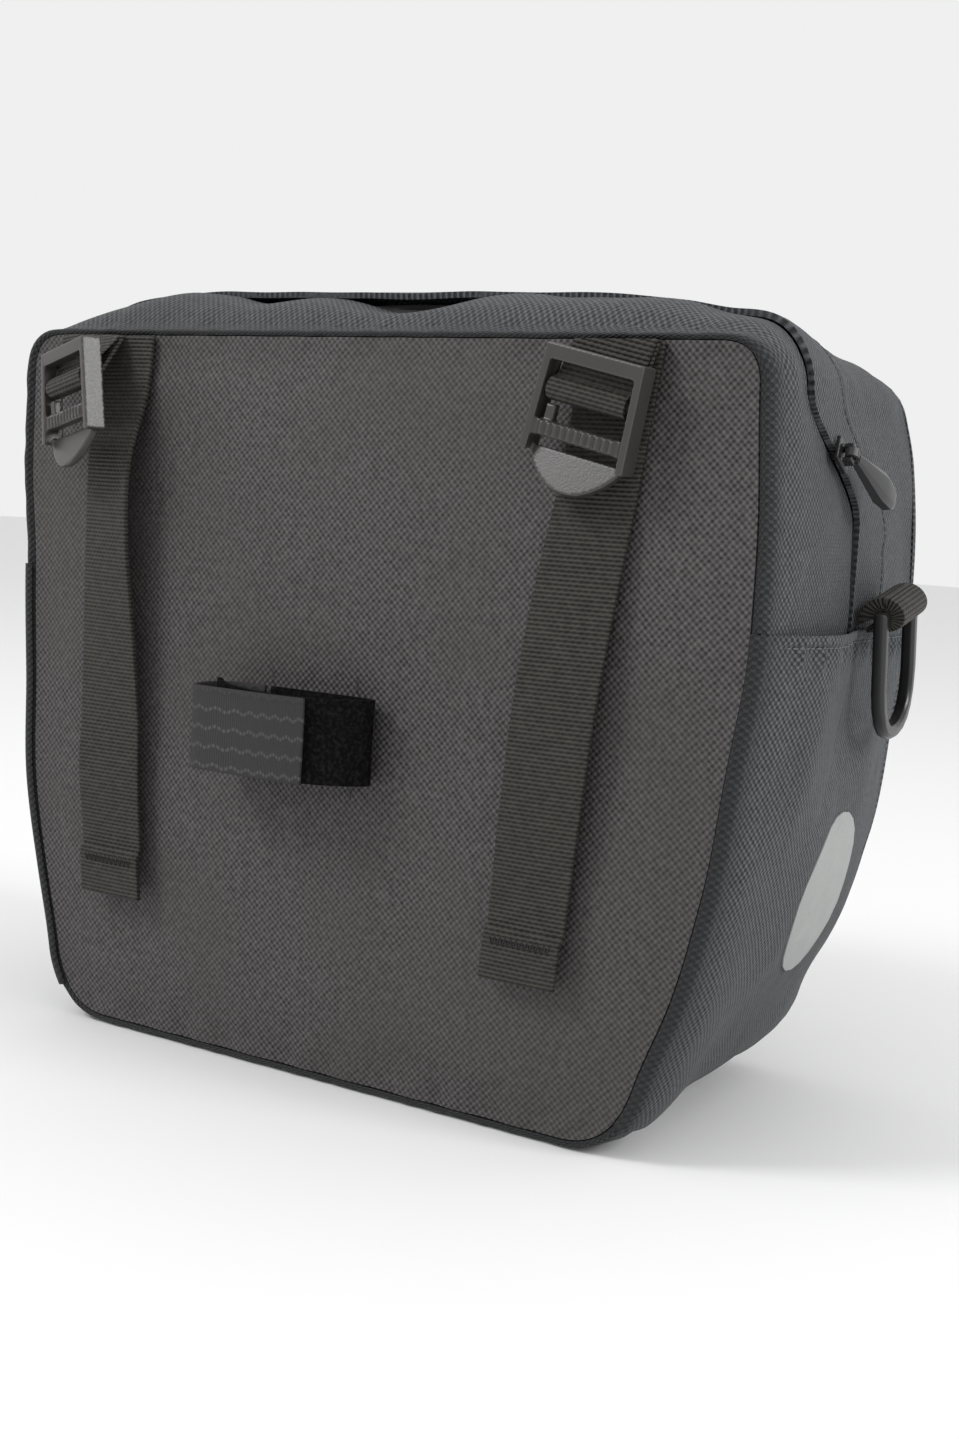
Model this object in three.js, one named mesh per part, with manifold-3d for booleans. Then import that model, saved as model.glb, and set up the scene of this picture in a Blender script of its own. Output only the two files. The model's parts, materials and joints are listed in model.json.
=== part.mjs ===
// Handlebar bag for a bicycle: a zipped box of woven cloth that stands on its bottom, with two
// hanging webbing straps and ladder buckles, a fastening tape, side pockets and two D-rings.
// Millimetres. +X is to the right seen from the rear, +Y goes from the rear panel to the front
// panel, +Z is up.
import * as THREE from 'three';
import { mergeVertices } from 'three/addons/utils/BufferGeometryUtils.js';
import Module from 'manifold-3d';

const wasm = await Module();
wasm.setup();

// Driving dimensions of the body
const panelHeight = 221;
const panelHalfWidth = 135.5;
const panelBottomHalfWidth = 104.5;
const panelTopHalfWidth = 133;
const widestHeightShare = 0.66;
const bottomCornerRadius = 16;
const topCornerRadius = 12;
const bagDepth = 134;
const clothWall = 1.8;
const gap = 0.3;
const seamRoll = 4;
const sideTaper = 12;
const crownRise = 12.5;
const bottomDrop = 0.6;
const rollShareOnTopAndBottom = 0.45;
const bottomFrontRise = 8;
const bottomCornerSink = 6;
const topCornerSink = 1;
const rearPanelBulge = 3;
const frontPanelBulge = 7;

// Zip and its cover flap
const zipDepthOnTop = 24;
const zipDepthOnSide = 66;
const zipBendStart = 10;
const zipBendEnd = 46;
const zipSlit = 3;
const zipTapeWall = 1;
const zipTapeGap = 1.1;
const coilWidth = 5;
const coilHeight = 1.2;
const flapWidth = 30;
const flapLift = 1.8;
const flapLiftOnSide = 0.35;
const tapeOverlap = 4;

// Side pockets and the round reflector on the right one
const pocketHemHeight = 146;
const pocketWall = 1.6;
const pocketMouth = 5;
const pocketFrontShare = 0.93;
const pocketFootHeight = 8.8;
const pocketHangFrom = 0.25;
const pocketBody = { swell: 0.5, up: 0.5, height: 0.3 };
const discDiameter = 49;
const discThickness = 0.6;
const discGap = 0.5;
const discCentreHeight = 68.5;
const discCentreDepth = 76;

// Webbing straps and their ladder buckles
const webbingWidth = 25;
const webbingThickness = 1.6;
const strapLength = 178;
const strapHemLength = 14;
const strapStandOff = 5;
const buckleTopWidth = 31;
const buckleLowWidth = 33.5;
const buckleHeight = 29;
const buckleDepth = 6.6;
const buckleRim = 2.3;
const buckleTopBar = 4.2;
const topBarDepth = 4.2;
const crossBarDiameter = 3.6;
const crossBarDrop = 11.5;
const toothBarDrop = 22.5;
const toothBarHeight = 4.4;
const toothBarDepth = 3.6;
const toothBarRecess = 0.7;
const toothCount = 11;
const toothHeight = 0.8;
const toothWidth = 1.2;
const toothEndMargin = 2;
const postWidth = 3;
const postDepth = 2.6;
const postAcross = 0.36;
const tabLength = 10.5;
const tabThickness = 2.4;
const tabInset = 1.2;
const tabBack = 0.36;
const barSeat = 0.5;
const seamToBuckle = 5;
const buckleStandOff = 4.6;
const tabSlope = 18;

// Where each strap and buckle is sewn into the top seam, how far the strap leans in at its end, and
// the buckle's lean and turn in degrees
const hanging = {
  right: { strapX: 92.5, strapInward: 17, buckleX: 91, lean: 12, turn: 0 },
  left: { strapX: 91, strapInward: 11, buckleX: 101, lean: -10, turn: -20 },
};

// Fastening tape in the middle of the rear panel
const fasteningWidth = 25;
const fasteningThickness = 1.5;
const fasteningHeight = 104;
const fasteningStandOff = 24;
const fasteningLeft = -38;
const fasteningRight = 23;

// D-rings in their webbing loops
const ringBar = 4;
const ringBevel = 0.8;
const ringHeight = 40;
const ringLoopAboveHem = 6;
const ringLoopDepth = 80;
const ringAxisOut = 9;
const ringLoopTilt = 10;
const ringLoopRise = 4.7;
const ringLoopReach = 4.9;
const ringSideGap = 1;
const ringKneeShare = 0.95;
const ringFootFullness = 0.9;

// Zip slider and its pull
const sliderLength = 9;
const sliderWidth = 7;
const sliderNeck = 0.8;
const sliderHeight = 3.2;
const pullLength = 25;
const pullRestAngle = 11;
const pullWidth = 9.5;
const pullThickness = 5;
const pullPin = 1.8;
const pullEye = 2.6;
const pullWall = 0.9;
const earThickness = 1.2;
const sliderPlate = 1.2;
const sliderSeat = 0.5;
const sliderNeckLength = 3.6;
const earLength = 3.2;
const stemLength = 3.4;
const sliderAtHeight = 194;
const plateOut = flapLift * flapLiftOnSide + 3 * gap;
const pinOut = plateOut + sliderPlate + pullPin / 2 + pullWall + 2 * gap;

// Colours of the cloth, webbing, tapes and hard pieces
const finish = {
  rearCloth: { color: 0x3d3b3d, roughness: 0.9, metalness: 0 },
  sideCloth: { color: 0x3b3f46, roughness: 0.88, metalness: 0 },
  webbing: { color: 0x2a2925, roughness: 0.85, metalness: 0 },
  buckle: { color: 0x4a4a49, roughness: 0.5, metalness: 0 },
  ring: { color: 0x2b2b2c, roughness: 0.4, metalness: 0 },
  pull: { color: 0x3a3a3b, roughness: 0.45, metalness: 0 },
  zip: { color: 0x1b1b1d, roughness: 0.7, metalness: 0 },
  hook: { color: 0x424242, roughness: 0.7, metalness: 0 },
  loop: { color: 0x141414, roughness: 1, metalness: 0 },
  reflector: { color: 0xb9bcbd, roughness: 0.45, metalness: 0.1 },
};

// Half widths of the panel on its right and left, as shares of its even taper at each height
const sideEdge = [
  { height: 0.08, right: 1.044, left: 1.038 },
  { height: 0.2, right: 1.079, left: 1.049 },
  { height: 0.33, right: 1.058, left: 1.031 },
  { height: 0.5, right: 1.007, left: 0.9636 },
  { height: 0.66, right: 1, left: 0.948 },
  { height: 0.8, right: 1.003, left: 0.9787 },
  { height: 0.94, right: 0.9959, left: 0.9928 },
];

// Heights of the outline's points up the sides, as shares: closer where the zip bends
const edgeHeights = [0.08, 0.17, 0.27, 0.38, 0.49, 0.58, 0.66, 0.74, 0.81, 0.86, 0.9, 0.94];

// Depth of the front seam at each height, as shares of the panel's height and the bag's depth
const frontEdge = [
  { height: -0.05, depth: 0.885 },
  { height: 0.06, depth: 0.915 },
  { height: 0.16, depth: 0.957 },
  { height: 0.34, depth: 1 },
  { height: 0.56, depth: 1 },
  { height: 0.88, depth: 0.97 },
  { height: 1, depth: 0.86 },
];

// How far the gusset stands out from the rear seam along the depth: the top follows crownRise,
// the sides sideTaper, the bottom its drop and the rise to the front, and the corners sink in
const gussetProfile = [
  { depth: 0.03, top: 0, side: 0, drop: 0.4, rise: 0, sink: 0 },
  { depth: 0.09, top: 0.6, side: 0.02, drop: 0.9, rise: 0, sink: 0 },
  { depth: 0.17, top: 0.9, side: -0.04, drop: 1, rise: 0, sink: 0.2 },
  { depth: 0.28, top: 1, side: -0.15, drop: 1, rise: 0, sink: 0.7 },
  { depth: 0.45, top: 0.8, side: -0.38, drop: 1, rise: 0.08, sink: 1 },
  { depth: 0.62, top: 0.5, side: -0.62, drop: 1, rise: 0.25, sink: 0.9 },
  { depth: 0.82, top: 0.26, side: -0.95, drop: 1, rise: 0.55, sink: 0.7 },
  { depth: 1, top: 0.02, side: -1.3, drop: 1, rise: 1, sink: 1 },
];

// Height of the top's crown across the bag, as shares of the top half width and crownRise
const crown = [
  { across: -0.98, height: 0.05 },
  { across: -0.91, height: 0.5 },
  { across: -0.82, height: 0.8 },
  { across: -0.62, height: 1.02 },
  { across: -0.4, height: 1.02 },
  { across: 0, height: 1 },
  { across: 0.45, height: 0.98 },
  { across: 0.72, height: 0.78 },
  { across: 0.83, height: 0.6 },
  { across: 0.91, height: 0.52 },
  { across: 0.98, height: 0.3 },
];

// The rolled edge beside the rear seam, as shares of seamRoll
const rollRows = [
  { out: 0, back: 0.16 },
  { out: 0.5, back: -0.14 },
  { out: 0.88, back: 0.14 },
  { out: 1, back: 0.7 },
];

// Soft folds of the rear gusset at the zip: shares of the top half width and crownRise
const topFolds = [
  { across: -0.66, width: 0.1, lift: 0.12 },
  { across: -0.38, width: 0.09, lift: -0.12 },
  { across: 0.03, width: 0.14, lift: -0.36 },
  { across: 0.34, width: 0.12, lift: 0.12 },
  { across: 0.66, width: 0.1, lift: 0.1 },
];
const topFoldReach = 0.12;

// Soft swellings of the rear panel: shares of the half width, the height and rearPanelBulge
const panelFolds = [
  { across: -0.3, up: 0.45, width: 0.3, height: 0.4, lift: 0.5 },
  { across: 0.28, up: 0.5, width: 0.12, height: 0.5, lift: -0.35 },
  { across: 0.7, up: 0.72, width: 0.14, height: 0.2, lift: 0.3 },
  { across: -0.55, up: 0.12, width: 0.1, height: 0.16, lift: -0.4 },
];

// Folds of the pocket cloth: shares of the hem height, the bag's depth and pocketMouth
const pocketFolds = [
  { up: 0.8, along: 0.2, height: 0.16, length: 0.07, lift: 0.35 },
  { up: 0.74, along: 0.72, height: 0.08, length: 0.16, lift: 0.45 },
  { up: 0.6, along: 0.36, height: 0.25, length: 0.14, lift: 0.4 },
  { up: 0.35, along: 0.3, height: 0.2, length: 0.1, lift: -0.15 },
];

// Smooth reading of one named column of a table at a place along its key column
function readTable(table, key, column, at) {
  const last = table.length - 1;
  if (at <= table[0][key]) return table[0][column];
  if (at >= table[last][key]) return table[last][column];
  const i = table.findIndex((row) => row[key] > at) - 1;
  const slope = (a, b) => (table[b][column] - table[a][column]) / (table[b][key] - table[a][key]);
  const step = table[i + 1][key] - table[i][key];
  const t = (at - table[i][key]) / step;
  const m0 = slope(Math.max(i - 1, 0), i + 1) * step;
  const m1 = slope(i, Math.min(i + 2, last)) * step;
  const rise = table[i + 1][column] - table[i][column];
  return table[i][column] + t * (m0 + t * (3 * rise - 2 * m0 - m1 + t * (m0 + m1 - 2 * rise)));
}

function bell(distance, width) {
  return Math.exp(-((distance / width) ** 2));
}

// Even taper of the half width: from the bottom to the widest place, and from there to the top
function taperedHalfWidth(height) {
  const { lerp, smoothstep } = THREE.MathUtils;
  const below = lerp(panelBottomHalfWidth, panelHalfWidth, smoothstep(height, 0, widestHeightShare));
  return lerp(below, panelTopHalfWidth, smoothstep(height, widestHeightShare, 1));
}

// The panel's outline, from the middle of the bottom round by the right, the top and the left
function panelOutline() {
  const point = (x, z) => new THREE.Vector2(x, z);
  const bottomEnd = point(panelBottomHalfWidth - bottomCornerRadius, 0);
  const topEnd = point(panelTopHalfWidth - topCornerRadius, panelHeight);
  const halfOf = (side) => {
    const edge = edgeHeights.map((height) => (
      point(readTable(sideEdge, 'height', side, height) * taperedHalfWidth(height), height * panelHeight)
    ));
    const corner = (from, middle, to) => new THREE.QuadraticBezierCurve(from, middle, to).getPoints(3);
    const topCorner = corner(edge.at(-1), point(panelTopHalfWidth, panelHeight), topEnd);
    return [
      ...new THREE.LineCurve(point(0, 0), bottomEnd).getPoints(4),
      ...corner(bottomEnd, point(panelBottomHalfWidth, 0), edge[0]).slice(1, -1),
      ...edge,
      ...topCorner.slice(1),
      ...new THREE.LineCurve(topEnd, point(0, panelHeight)).getPoints(11).slice(1),
    ];
  };
  const right = halfOf('right');
  const left = halfOf('left').slice(1, -1).reverse().map(({ x, y }) => point(-x, y));
  return { loop: [...right, ...left], half: right.length - 1 };
}

const { loop: outline, half: topMiddle } = panelOutline();
const loopSize = outline.length;

// Point and outward direction of the outline at a loop place, whole or between two points
function loopPoint(place) {
  const at = (k) => outline[((k % loopSize) + loopSize) % loopSize];
  const outward = (k) => {
    const along = at(k + 1).clone().sub(at(k - 1)).normalize();
    return new THREE.Vector2(along.y, -along.x);
  };
  const k = Math.floor(place);
  const t = place - k;
  const point = at(k).clone().lerp(at(k + 1), t);
  return { x: point.x, z: point.y, out: outward(k).lerp(outward(k + 1), t).normalize() };
}

// Loop place on the right side at a height
function placeAtHeight(height) {
  const first = outline.findIndex(({ y }, k) => k < topMiddle && y > height);
  const low = outline[first - 1];
  return first - 1 + (height - low.y) / (outline[first].y - low.y);
}

function mirrorPlace(place) {
  return loopSize - place;
}

const hemPlace = Math.round(placeAtHeight(pocketHemHeight));
const seamPlace = hemPlace - 1;
const pocketLowPlace = Math.round(placeAtHeight(pocketFootHeight));

function frontDepth({ z }) {
  return bagDepth * readTable(frontEdge, 'height', 'depth', z / panelHeight);
}

// The rolled edge is fuller down the sides than along the top and bottom
function rollSize(out) {
  return THREE.MathUtils.lerp(rollShareOnTopAndBottom, 1, out.x ** 2);
}

// How far the gusset's outer face stands out from the outline at a share of the depth
function gussetOffset({ x, out }, share) {
  const read = (column) => readTable(gussetProfile, 'depth', column, share);
  const up = Math.max(out.y, 0) ** 2;
  const down = Math.max(-out.y, 0) ** 2;
  const across = x / panelTopHalfWidth;
  const crownHere = crownRise * readTable(crown, 'across', 'height', across);
  const folds = topFolds.reduce((sum, fold) => sum + fold.lift * bell(across - fold.across, fold.width), 0);
  const zipLine = zipDepthOnTop / frontDepth({ z: panelHeight });
  const foldReach = share > zipLine ? 0 : bell(share - zipLine, topFoldReach);
  const top = crownHere * read('top') + crownRise * folds * foldReach;
  const bottom = bottomDrop * read('drop') - bottomFrontRise * read('rise');
  const cornerSink = (out.y < 0 ? bottomCornerSink : topCornerSink) * read('sink');
  const corner = 4 * (out.x * out.y) ** 2 * cornerSink;
  return gap + seamRoll * rollSize(out) + up * top + down * bottom - corner;
}

// How the gusset narrows or widens across the bag at a share of the depth, as a factor on x
function gussetSpread(share) {
  return 1 + sideTaper * readTable(gussetProfile, 'depth', 'side', share) / panelHalfWidth;
}

// A point of the gusset's outer face. Depths at or below zero count along the rolled edge.
function gussetPoint(place, share) {
  const at = loopPoint(place);
  const lastRow = rollRows.length - 1;
  let out = gussetOffset(at, share);
  let y = share * frontDepth(at);
  const spread = share <= 0 ? 1 : gussetSpread(share);
  if (share <= 0) {
    const row = THREE.MathUtils.clamp(share + lastRow, 0, lastRow);
    const k = Math.min(Math.floor(row), lastRow - 1);
    const roll = seamRoll * rollSize(at.out);
    out = gap + roll * THREE.MathUtils.lerp(rollRows[k].out, rollRows[k + 1].out, row - k);
    y = roll * THREE.MathUtils.lerp(rollRows[k].back, rollRows[k + 1].back, row - k);
  }
  return new THREE.Vector3(at.x * spread + at.out.x * out, y, at.z + at.out.y * out);
}

// Outward direction of the gusset's face, from its slopes along the depth and round the loop
function gussetNormal(place, share) {
  const step = share <= 0 ? 0.5 : 0.02;
  const before = share > 0 && share - step <= 0 ? share : share - step;
  const along = gussetPoint(place, Math.min(share + step, share <= 0 ? 0 : 1));
  along.sub(gussetPoint(place, before));
  const round = gussetPoint(place + 0.5, share).sub(gussetPoint(place - 0.5, share));
  return along.cross(round).normalize();
}

// A point off the gusset's outer face: lift is outward
function liftedPoint(place, share, lift) {
  return gussetPoint(place, share).addScaledVector(gussetNormal(place, share), lift);
}

// Closed solid between an outer and an inner grid of points: columns across, rows along
function wallBetween(outer, inner, closedRound = false) {
  const columns = outer.length;
  const rows = outer[0].length;
  const points = [...outer.flat(), ...inner.flat()];
  const index = [];
  const at = (side, i, j) => side * columns * rows + (i % columns) * rows + j;
  const quad = (a, b, c, d) => index.push(a, b, c, a, c, d);
  const lastColumn = closedRound ? columns : columns - 1;
  for (let i = 0; i < lastColumn; i += 1) {
    for (let j = 0; j < rows - 1; j += 1) {
      quad(at(0, i, j), at(0, i, j + 1), at(0, i + 1, j + 1), at(0, i + 1, j));
      quad(at(1, i, j), at(1, i + 1, j), at(1, i + 1, j + 1), at(1, i, j + 1));
    }
    quad(at(0, i, 0), at(0, i + 1, 0), at(1, i + 1, 0), at(1, i, 0));
    quad(at(0, i, rows - 1), at(1, i, rows - 1), at(1, i + 1, rows - 1), at(0, i + 1, rows - 1));
  }
  for (let j = 0; j < rows - 1 && !closedRound; j += 1) {
    quad(at(0, 0, j), at(1, 0, j), at(1, 0, j + 1), at(0, 0, j + 1));
    quad(at(0, columns - 1, j), at(0, columns - 1, j + 1), at(1, columns - 1, j + 1), at(1, columns - 1, j));
  }
  return solidFrom(points, index);
}

// Indexed geometry with its faces pointing out, whichever way round its points were given
function solidFrom(points, index) {
  const [a, b, c] = [0, 1, 2].map(() => new THREE.Vector3());
  let volume = 0;
  for (let i = 0; i < index.length; i += 3) {
    a.copy(points[index[i]]);
    b.copy(points[index[i + 1]]);
    c.copy(points[index[i + 2]]);
    volume += a.dot(b.cross(c));
  }
  const faces = volume < 0 ? index.map((_, i) => index[i - (i % 3) + [0, 2, 1][i % 3]]) : index;
  const geometry = new THREE.BufferGeometry();
  geometry.setAttribute('position', new THREE.Float32BufferAttribute(points.flatMap((p) => [p.x, p.y, p.z]), 3));
  geometry.setIndex(faces);
  geometry.computeVertexNormals();
  return geometry;
}

// Closed panel: rings from the rim to a middle point, with an outer and an inner face
function panelBetween(outerRings, innerRings, outerMiddle, innerMiddle) {
  const size = outerRings[0].length;
  const rings = outerRings.length;
  const points = [...outerRings.flat(), outerMiddle, ...innerRings.flat(), innerMiddle];
  const side = rings * size + 1;
  const at = (face, ring, k) => face * side + (ring === rings ? rings * size : ring * size + (k % size));
  const index = [];
  for (let k = 0; k < size; k += 1) {
    for (let ring = 0; ring < rings; ring += 1) {
      const outer = [at(0, ring, k), at(0, ring, k + 1), at(0, ring + 1, k + 1), at(0, ring + 1, k)];
      const inner = [at(1, ring, k), at(1, ring + 1, k), at(1, ring + 1, k + 1), at(1, ring, k + 1)];
      index.push(outer[0], outer[1], outer[2], inner[0], inner[2], inner[3]);
      if (ring < rings - 1) index.push(outer[0], outer[2], outer[3], inner[0], inner[1], inner[2]);
    }
    index.push(at(0, 0, k), at(1, 0, k), at(1, 0, k + 1), at(0, 0, k), at(1, 0, k + 1), at(0, 0, k + 1));
  }
  return solidFrom(points, index);
}

// Ribbon of webbing or tape through rows of left and right edge points and outward directions
function ribbon(rows) {
  const outer = [0, 1].map((side) => rows.map((row) => row.edge[side].clone().addScaledVector(row.out, row.thick)));
  const inner = [0, 1].map((side) => rows.map((row) => row.edge[side].clone()));
  return wallBetween(outer, inner);
}

// Closed solid through rings of points, with a flat fan at each end
function tubeThrough(rings) {
  const size = rings[0].length;
  const points = rings.flat();
  const index = [];
  for (let ring = 0; ring < rings.length - 1; ring += 1) {
    for (let k = 0; k < size; k += 1) {
      const [a, b] = [ring * size + k, ring * size + ((k + 1) % size)];
      index.push(a, b, b + size, a, b + size, a + size);
    }
  }
  const last = (rings.length - 1) * size;
  for (let k = 1; k < size - 1; k += 1) {
    index.push(0, k + 1, k, last, last + k, last + k + 1);
  }
  return solidFrom(points, index);
}

function toManifold(geometry) {
  const bare = geometry.clone();
  bare.deleteAttribute('normal');
  bare.deleteAttribute('uv');
  const merged = mergeVertices(bare, 1e-4);
  return new wasm.Manifold(new wasm.Mesh({
    numProp: 3,
    vertProperties: new Float32Array(merged.attributes.position.array),
    triVerts: new Uint32Array(merged.index.array),
  }));
}

function fromManifold(solid) {
  const { vertProperties, triVerts } = solid.getMesh();
  const geometry = new THREE.BufferGeometry();
  geometry.setAttribute('position', new THREE.BufferAttribute(vertProperties, 3));
  geometry.setIndex(new THREE.BufferAttribute(triVerts, 1));
  geometry.computeVertexNormals();
  return geometry;
}

function joined(geometries) {
  return fromManifold(geometries.map(toManifold).reduce((sum, part) => sum.add(part)));
}

function box(width, depth, height, x, y, z) {
  return new THREE.BoxGeometry(width, depth, height).translate(x, y, z);
}

const bag = new THREE.Group();

function addPiece(name, geometry, material, parent = bag) {
  const mesh = new THREE.Mesh(geometry, new THREE.MeshStandardMaterial(material));
  mesh.name = name;
  parent.add(mesh);
  return mesh;
}

// Places from one loop place to another, with the ends drawn in to leave a clearance
const endInset = gap / 10;

function placesBetween(from, to) {
  const places = [from + endInset];
  for (let k = Math.ceil(from + 0.5); k < to - 0.4; k += 1) places.push(k);
  places.push(to - endInset);
  return places;
}

// Zip line: its depth on the top, the bend at the corner and its depth down the side
function zipShare(place, beyond = 0) {
  const at = loopPoint(place);
  const bend = THREE.MathUtils.smoothstep(panelHeight - at.z, zipBendStart, zipBendEnd);
  const depth = THREE.MathUtils.lerp(zipDepthOnTop, zipDepthOnSide, bend);
  return (depth + beyond) / frontDepth(at);
}

// Band of the gusset between two depth shares that may change round the loop
function gussetBand(places, rowShares, lift, wall) {
  const grid = (inward) => places.map((place) => rowShares(place).map((share, j, all) => (
    liftedPoint(place, share, lift(place, share, j / (all.length - 1)) - inward)
  )));
  return wallBetween(grid(0), grid(wall));
}

const firstWallShare = 0.06;
const rollShares = rollRows.map((_, k) => k - (rollRows.length - 1));
const flush = () => 0;

function sharesBetween(from, to, steps) {
  return Array.from({ length: steps + 1 }, (_, k) => THREE.MathUtils.lerp(from, to, k / steps));
}

// Rear panel: flat at its seam, with its soft swellings
const rearRingShares = [1, 0.9, 0.68, 0.36];
const rearMiddleHeight = 0.52;
const panelMiddle = { x: 0, z: panelHeight * rearMiddleHeight };

function rearPanelY(x, z) {
  const across = x / panelHalfWidth;
  const up = z / panelHeight;
  const edge = Math.max(0, 1 - across ** 2) * Math.max(0, 1 - (2 * up - 1) ** 4);
  const folds = panelFolds.reduce((sum, fold) => (
    sum + fold.lift * bell(across - fold.across, fold.width) * bell(up - fold.up, fold.height)
  ), 0);
  return -rearPanelBulge * edge * (1 + folds);
}

function panelRings(rimPoint, middle, shares) {
  return shares.map((share) => Array.from({ length: loopSize }, (_, k) => {
    const rim = rimPoint(k);
    return {
      x: THREE.MathUtils.lerp(middle.x, rim.x, share),
      z: THREE.MathUtils.lerp(middle.z, rim.z, share),
      y: rim.y,
    };
  }));
}

function rearPanel() {
  const rings = panelRings((k) => ({ ...loopPoint(k), y: 0 }), panelMiddle, rearRingShares);
  const face = (depth) => ({ x, z }) => new THREE.Vector3(x, rearPanelY(x, z) + depth, z);
  return panelBetween(
    rings.map((ring) => ring.map(face(0))),
    rings.map((ring) => ring.map(face(clothWall))),
    face(0)(panelMiddle),
    face(clothWall)(panelMiddle),
  );
}

// Front panel: its rim lies against the front edge of the gusset, and it swells forward
const frontRingShares = [1, 0.93, 0.78, 0.55, 0.28];
const frontMiddleDepth = 0.96;
const frontMiddleHeight = 0.5;

function frontPanel() {
  const rim = Array.from({ length: loopSize }, (_, k) => gussetPoint(k, 1));
  const middle = { x: 0, z: panelHeight * frontMiddleHeight, y: bagDepth * frontMiddleDepth };
  const swell = (share) => frontPanelBulge * (1 - share ** 2.5);
  const ring = (share, depth) => rim.map((point) => new THREE.Vector3(
    THREE.MathUtils.lerp(middle.x, point.x, share),
    THREE.MathUtils.lerp(middle.y, point.y, share) + swell(share) + depth,
    THREE.MathUtils.lerp(middle.z, point.z, share),
  ));
  const centre = (depth) => new THREE.Vector3(middle.x, middle.y + swell(0) + depth, middle.z);
  return panelBetween(
    frontRingShares.map((share) => ring(share, gap + clothWall)),
    frontRingShares.map((share) => ring(share, gap)),
    centre(gap + clothWall),
    centre(gap),
  );
}

const archPlaces = placesBetween(seamPlace, mirrorPlace(seamPlace));
const tubPlaces = placesBetween(mirrorPlace(seamPlace) - loopSize, seamPlace);

// Lift of the cover flap: free at the zip, sewn down at its seam
function flapLiftAt(place, share, along) {
  const { z, out } = loopPoint(place);
  const aboveHem = THREE.MathUtils.smoothstep(z - pocketHemHeight, 0, zipBendEnd);
  const free = THREE.MathUtils.lerp(flapLiftOnSide * aboveHem, 1, Math.max(out.y, 0));
  return flapLift * (1 - along) * free;
}

function addBody() {
  addPiece('rear_panel', rearPanel(), finish.rearCloth);
  addPiece('front_panel', frontPanel(), finish.sideCloth);
  const tubRows = [...rollShares, ...sharesBetween(firstWallShare, 1, 9)];
  addPiece('lower_gusset', gussetBand(tubPlaces, () => tubRows, flush, clothWall), finish.sideCloth);
  const rearRows = (place) => [...rollShares, ...sharesBetween(firstWallShare, zipShare(place, -zipSlit / 2), 5)];
  addPiece('rear_gusset', gussetBand(archPlaces, rearRows, flush, clothWall), finish.sideCloth);
  const flapRows = (place) => sharesBetween(zipShare(place, zipSlit / 2), zipShare(place, flapWidth), 3);
  addPiece('cover_flap', gussetBand(archPlaces, flapRows, flapLiftAt, clothWall), finish.sideCloth);
  const frontRows = (place) => sharesBetween(zipShare(place, flapWidth + gap), 1, 6);
  addPiece('front_gusset', gussetBand(archPlaces, frontRows, flush, clothWall), finish.sideCloth);
}

// Zip tape under the edges of the cloth, with the coil as a ridge in the slit
function addZip() {
  const under = -clothWall - zipTapeGap;
  const rows = (place) => [
    zipShare(place, -tapeOverlap - zipSlit / 2),
    zipShare(place, -coilWidth / 2),
    zipShare(place, -coilWidth / 4),
    zipShare(place, coilWidth / 4),
    zipShare(place, coilWidth / 2),
    zipShare(place, flapWidth + tapeOverlap),
  ];
  const ridge = (place, share, along) => {
    const inCoil = Math.abs(along - 0.5) < 0.15;
    return under + (inCoil ? coilHeight : 0);
  };
  const outer = archPlaces.map((place) => rows(place).map((share, j, all) => (
    liftedPoint(place, share, ridge(place, share, j / (all.length - 1)))
  )));
  const inner = archPlaces.map((place) => rows(place).map((share) => (
    liftedPoint(place, share, under - zipTapeWall)
  )));
  addPiece('zip_tape', wallBetween(outer, inner), finish.zip);
}

// Side of the bag by name: +1 to the right, -1 to the left, with its loop places
const sides = [
  { name: 'right', sign: 1, place: (k) => k },
  { name: 'left', sign: -1, place: mirrorPlace },
];

// Outer cloth of a side pocket: sewn in at its rear, front and bottom, open along its hem
function pocketLift(height, share) {
  const up = height / pocketHemHeight;
  const mouth = Math.sin(Math.PI * THREE.MathUtils.clamp(share / ringLoopShare, 0, 1)) ** 1.5;
  const hang = THREE.MathUtils.smoothstep(up, pocketHangFrom, 1);
  const edge = Math.sin(Math.PI * THREE.MathUtils.clamp(share / pocketFrontShare, 0, 1)) ** 0.8;
  const body = pocketBody.swell * edge * bell(up - pocketBody.up, pocketBody.height);
  const folds = pocketFolds.reduce((sum, fold) => (
    sum + fold.lift * bell(up - fold.up, fold.height) * bell(share - fold.along, fold.length)
  ), 0);
  return gap + pocketMouth * (Math.max(mouth * hang, body) + Math.max(folds, 0) * edge);
}

const ringLoopShare = (ringLoopDepth - webbingWidth / 2) / bagDepth;

function pocketPoint(side, k, share, lift) {
  const place = side.place(k);
  const height = loopPoint(place).z;
  return liftedPoint(place, share, (share > 0 ? pocketLift(height, share) : gap) + lift);
}

function addPockets() {
  const places = [];
  for (let k = pocketLowPlace; k <= hemPlace; k += 1) places.push(k);
  const rows = [-2.4, -2, -1, 0, ...sharesBetween(0.1, pocketFrontShare, 9)];
  for (const side of sides) {
    const grid = (lift) => places.map((k) => rows.map((share) => pocketPoint(side, k, share, lift)));
    addPiece(`side_pocket_${side.name}`, wallBetween(grid(pocketWall), grid(0)), finish.sideCloth);
  }
}

// Point of a pocket's outer face over a depth and a height, on its flat facets
function pocketFace(side, height, depth, lift) {
  const k = placeAtHeight(height);
  const low = Math.floor(k);
  const face = (at) => pocketPoint(side, at, depth / frontDepth(loopPoint(side.place(at))), pocketWall + lift);
  return face(low).lerp(face(low + 1), k - low);
}

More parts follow.
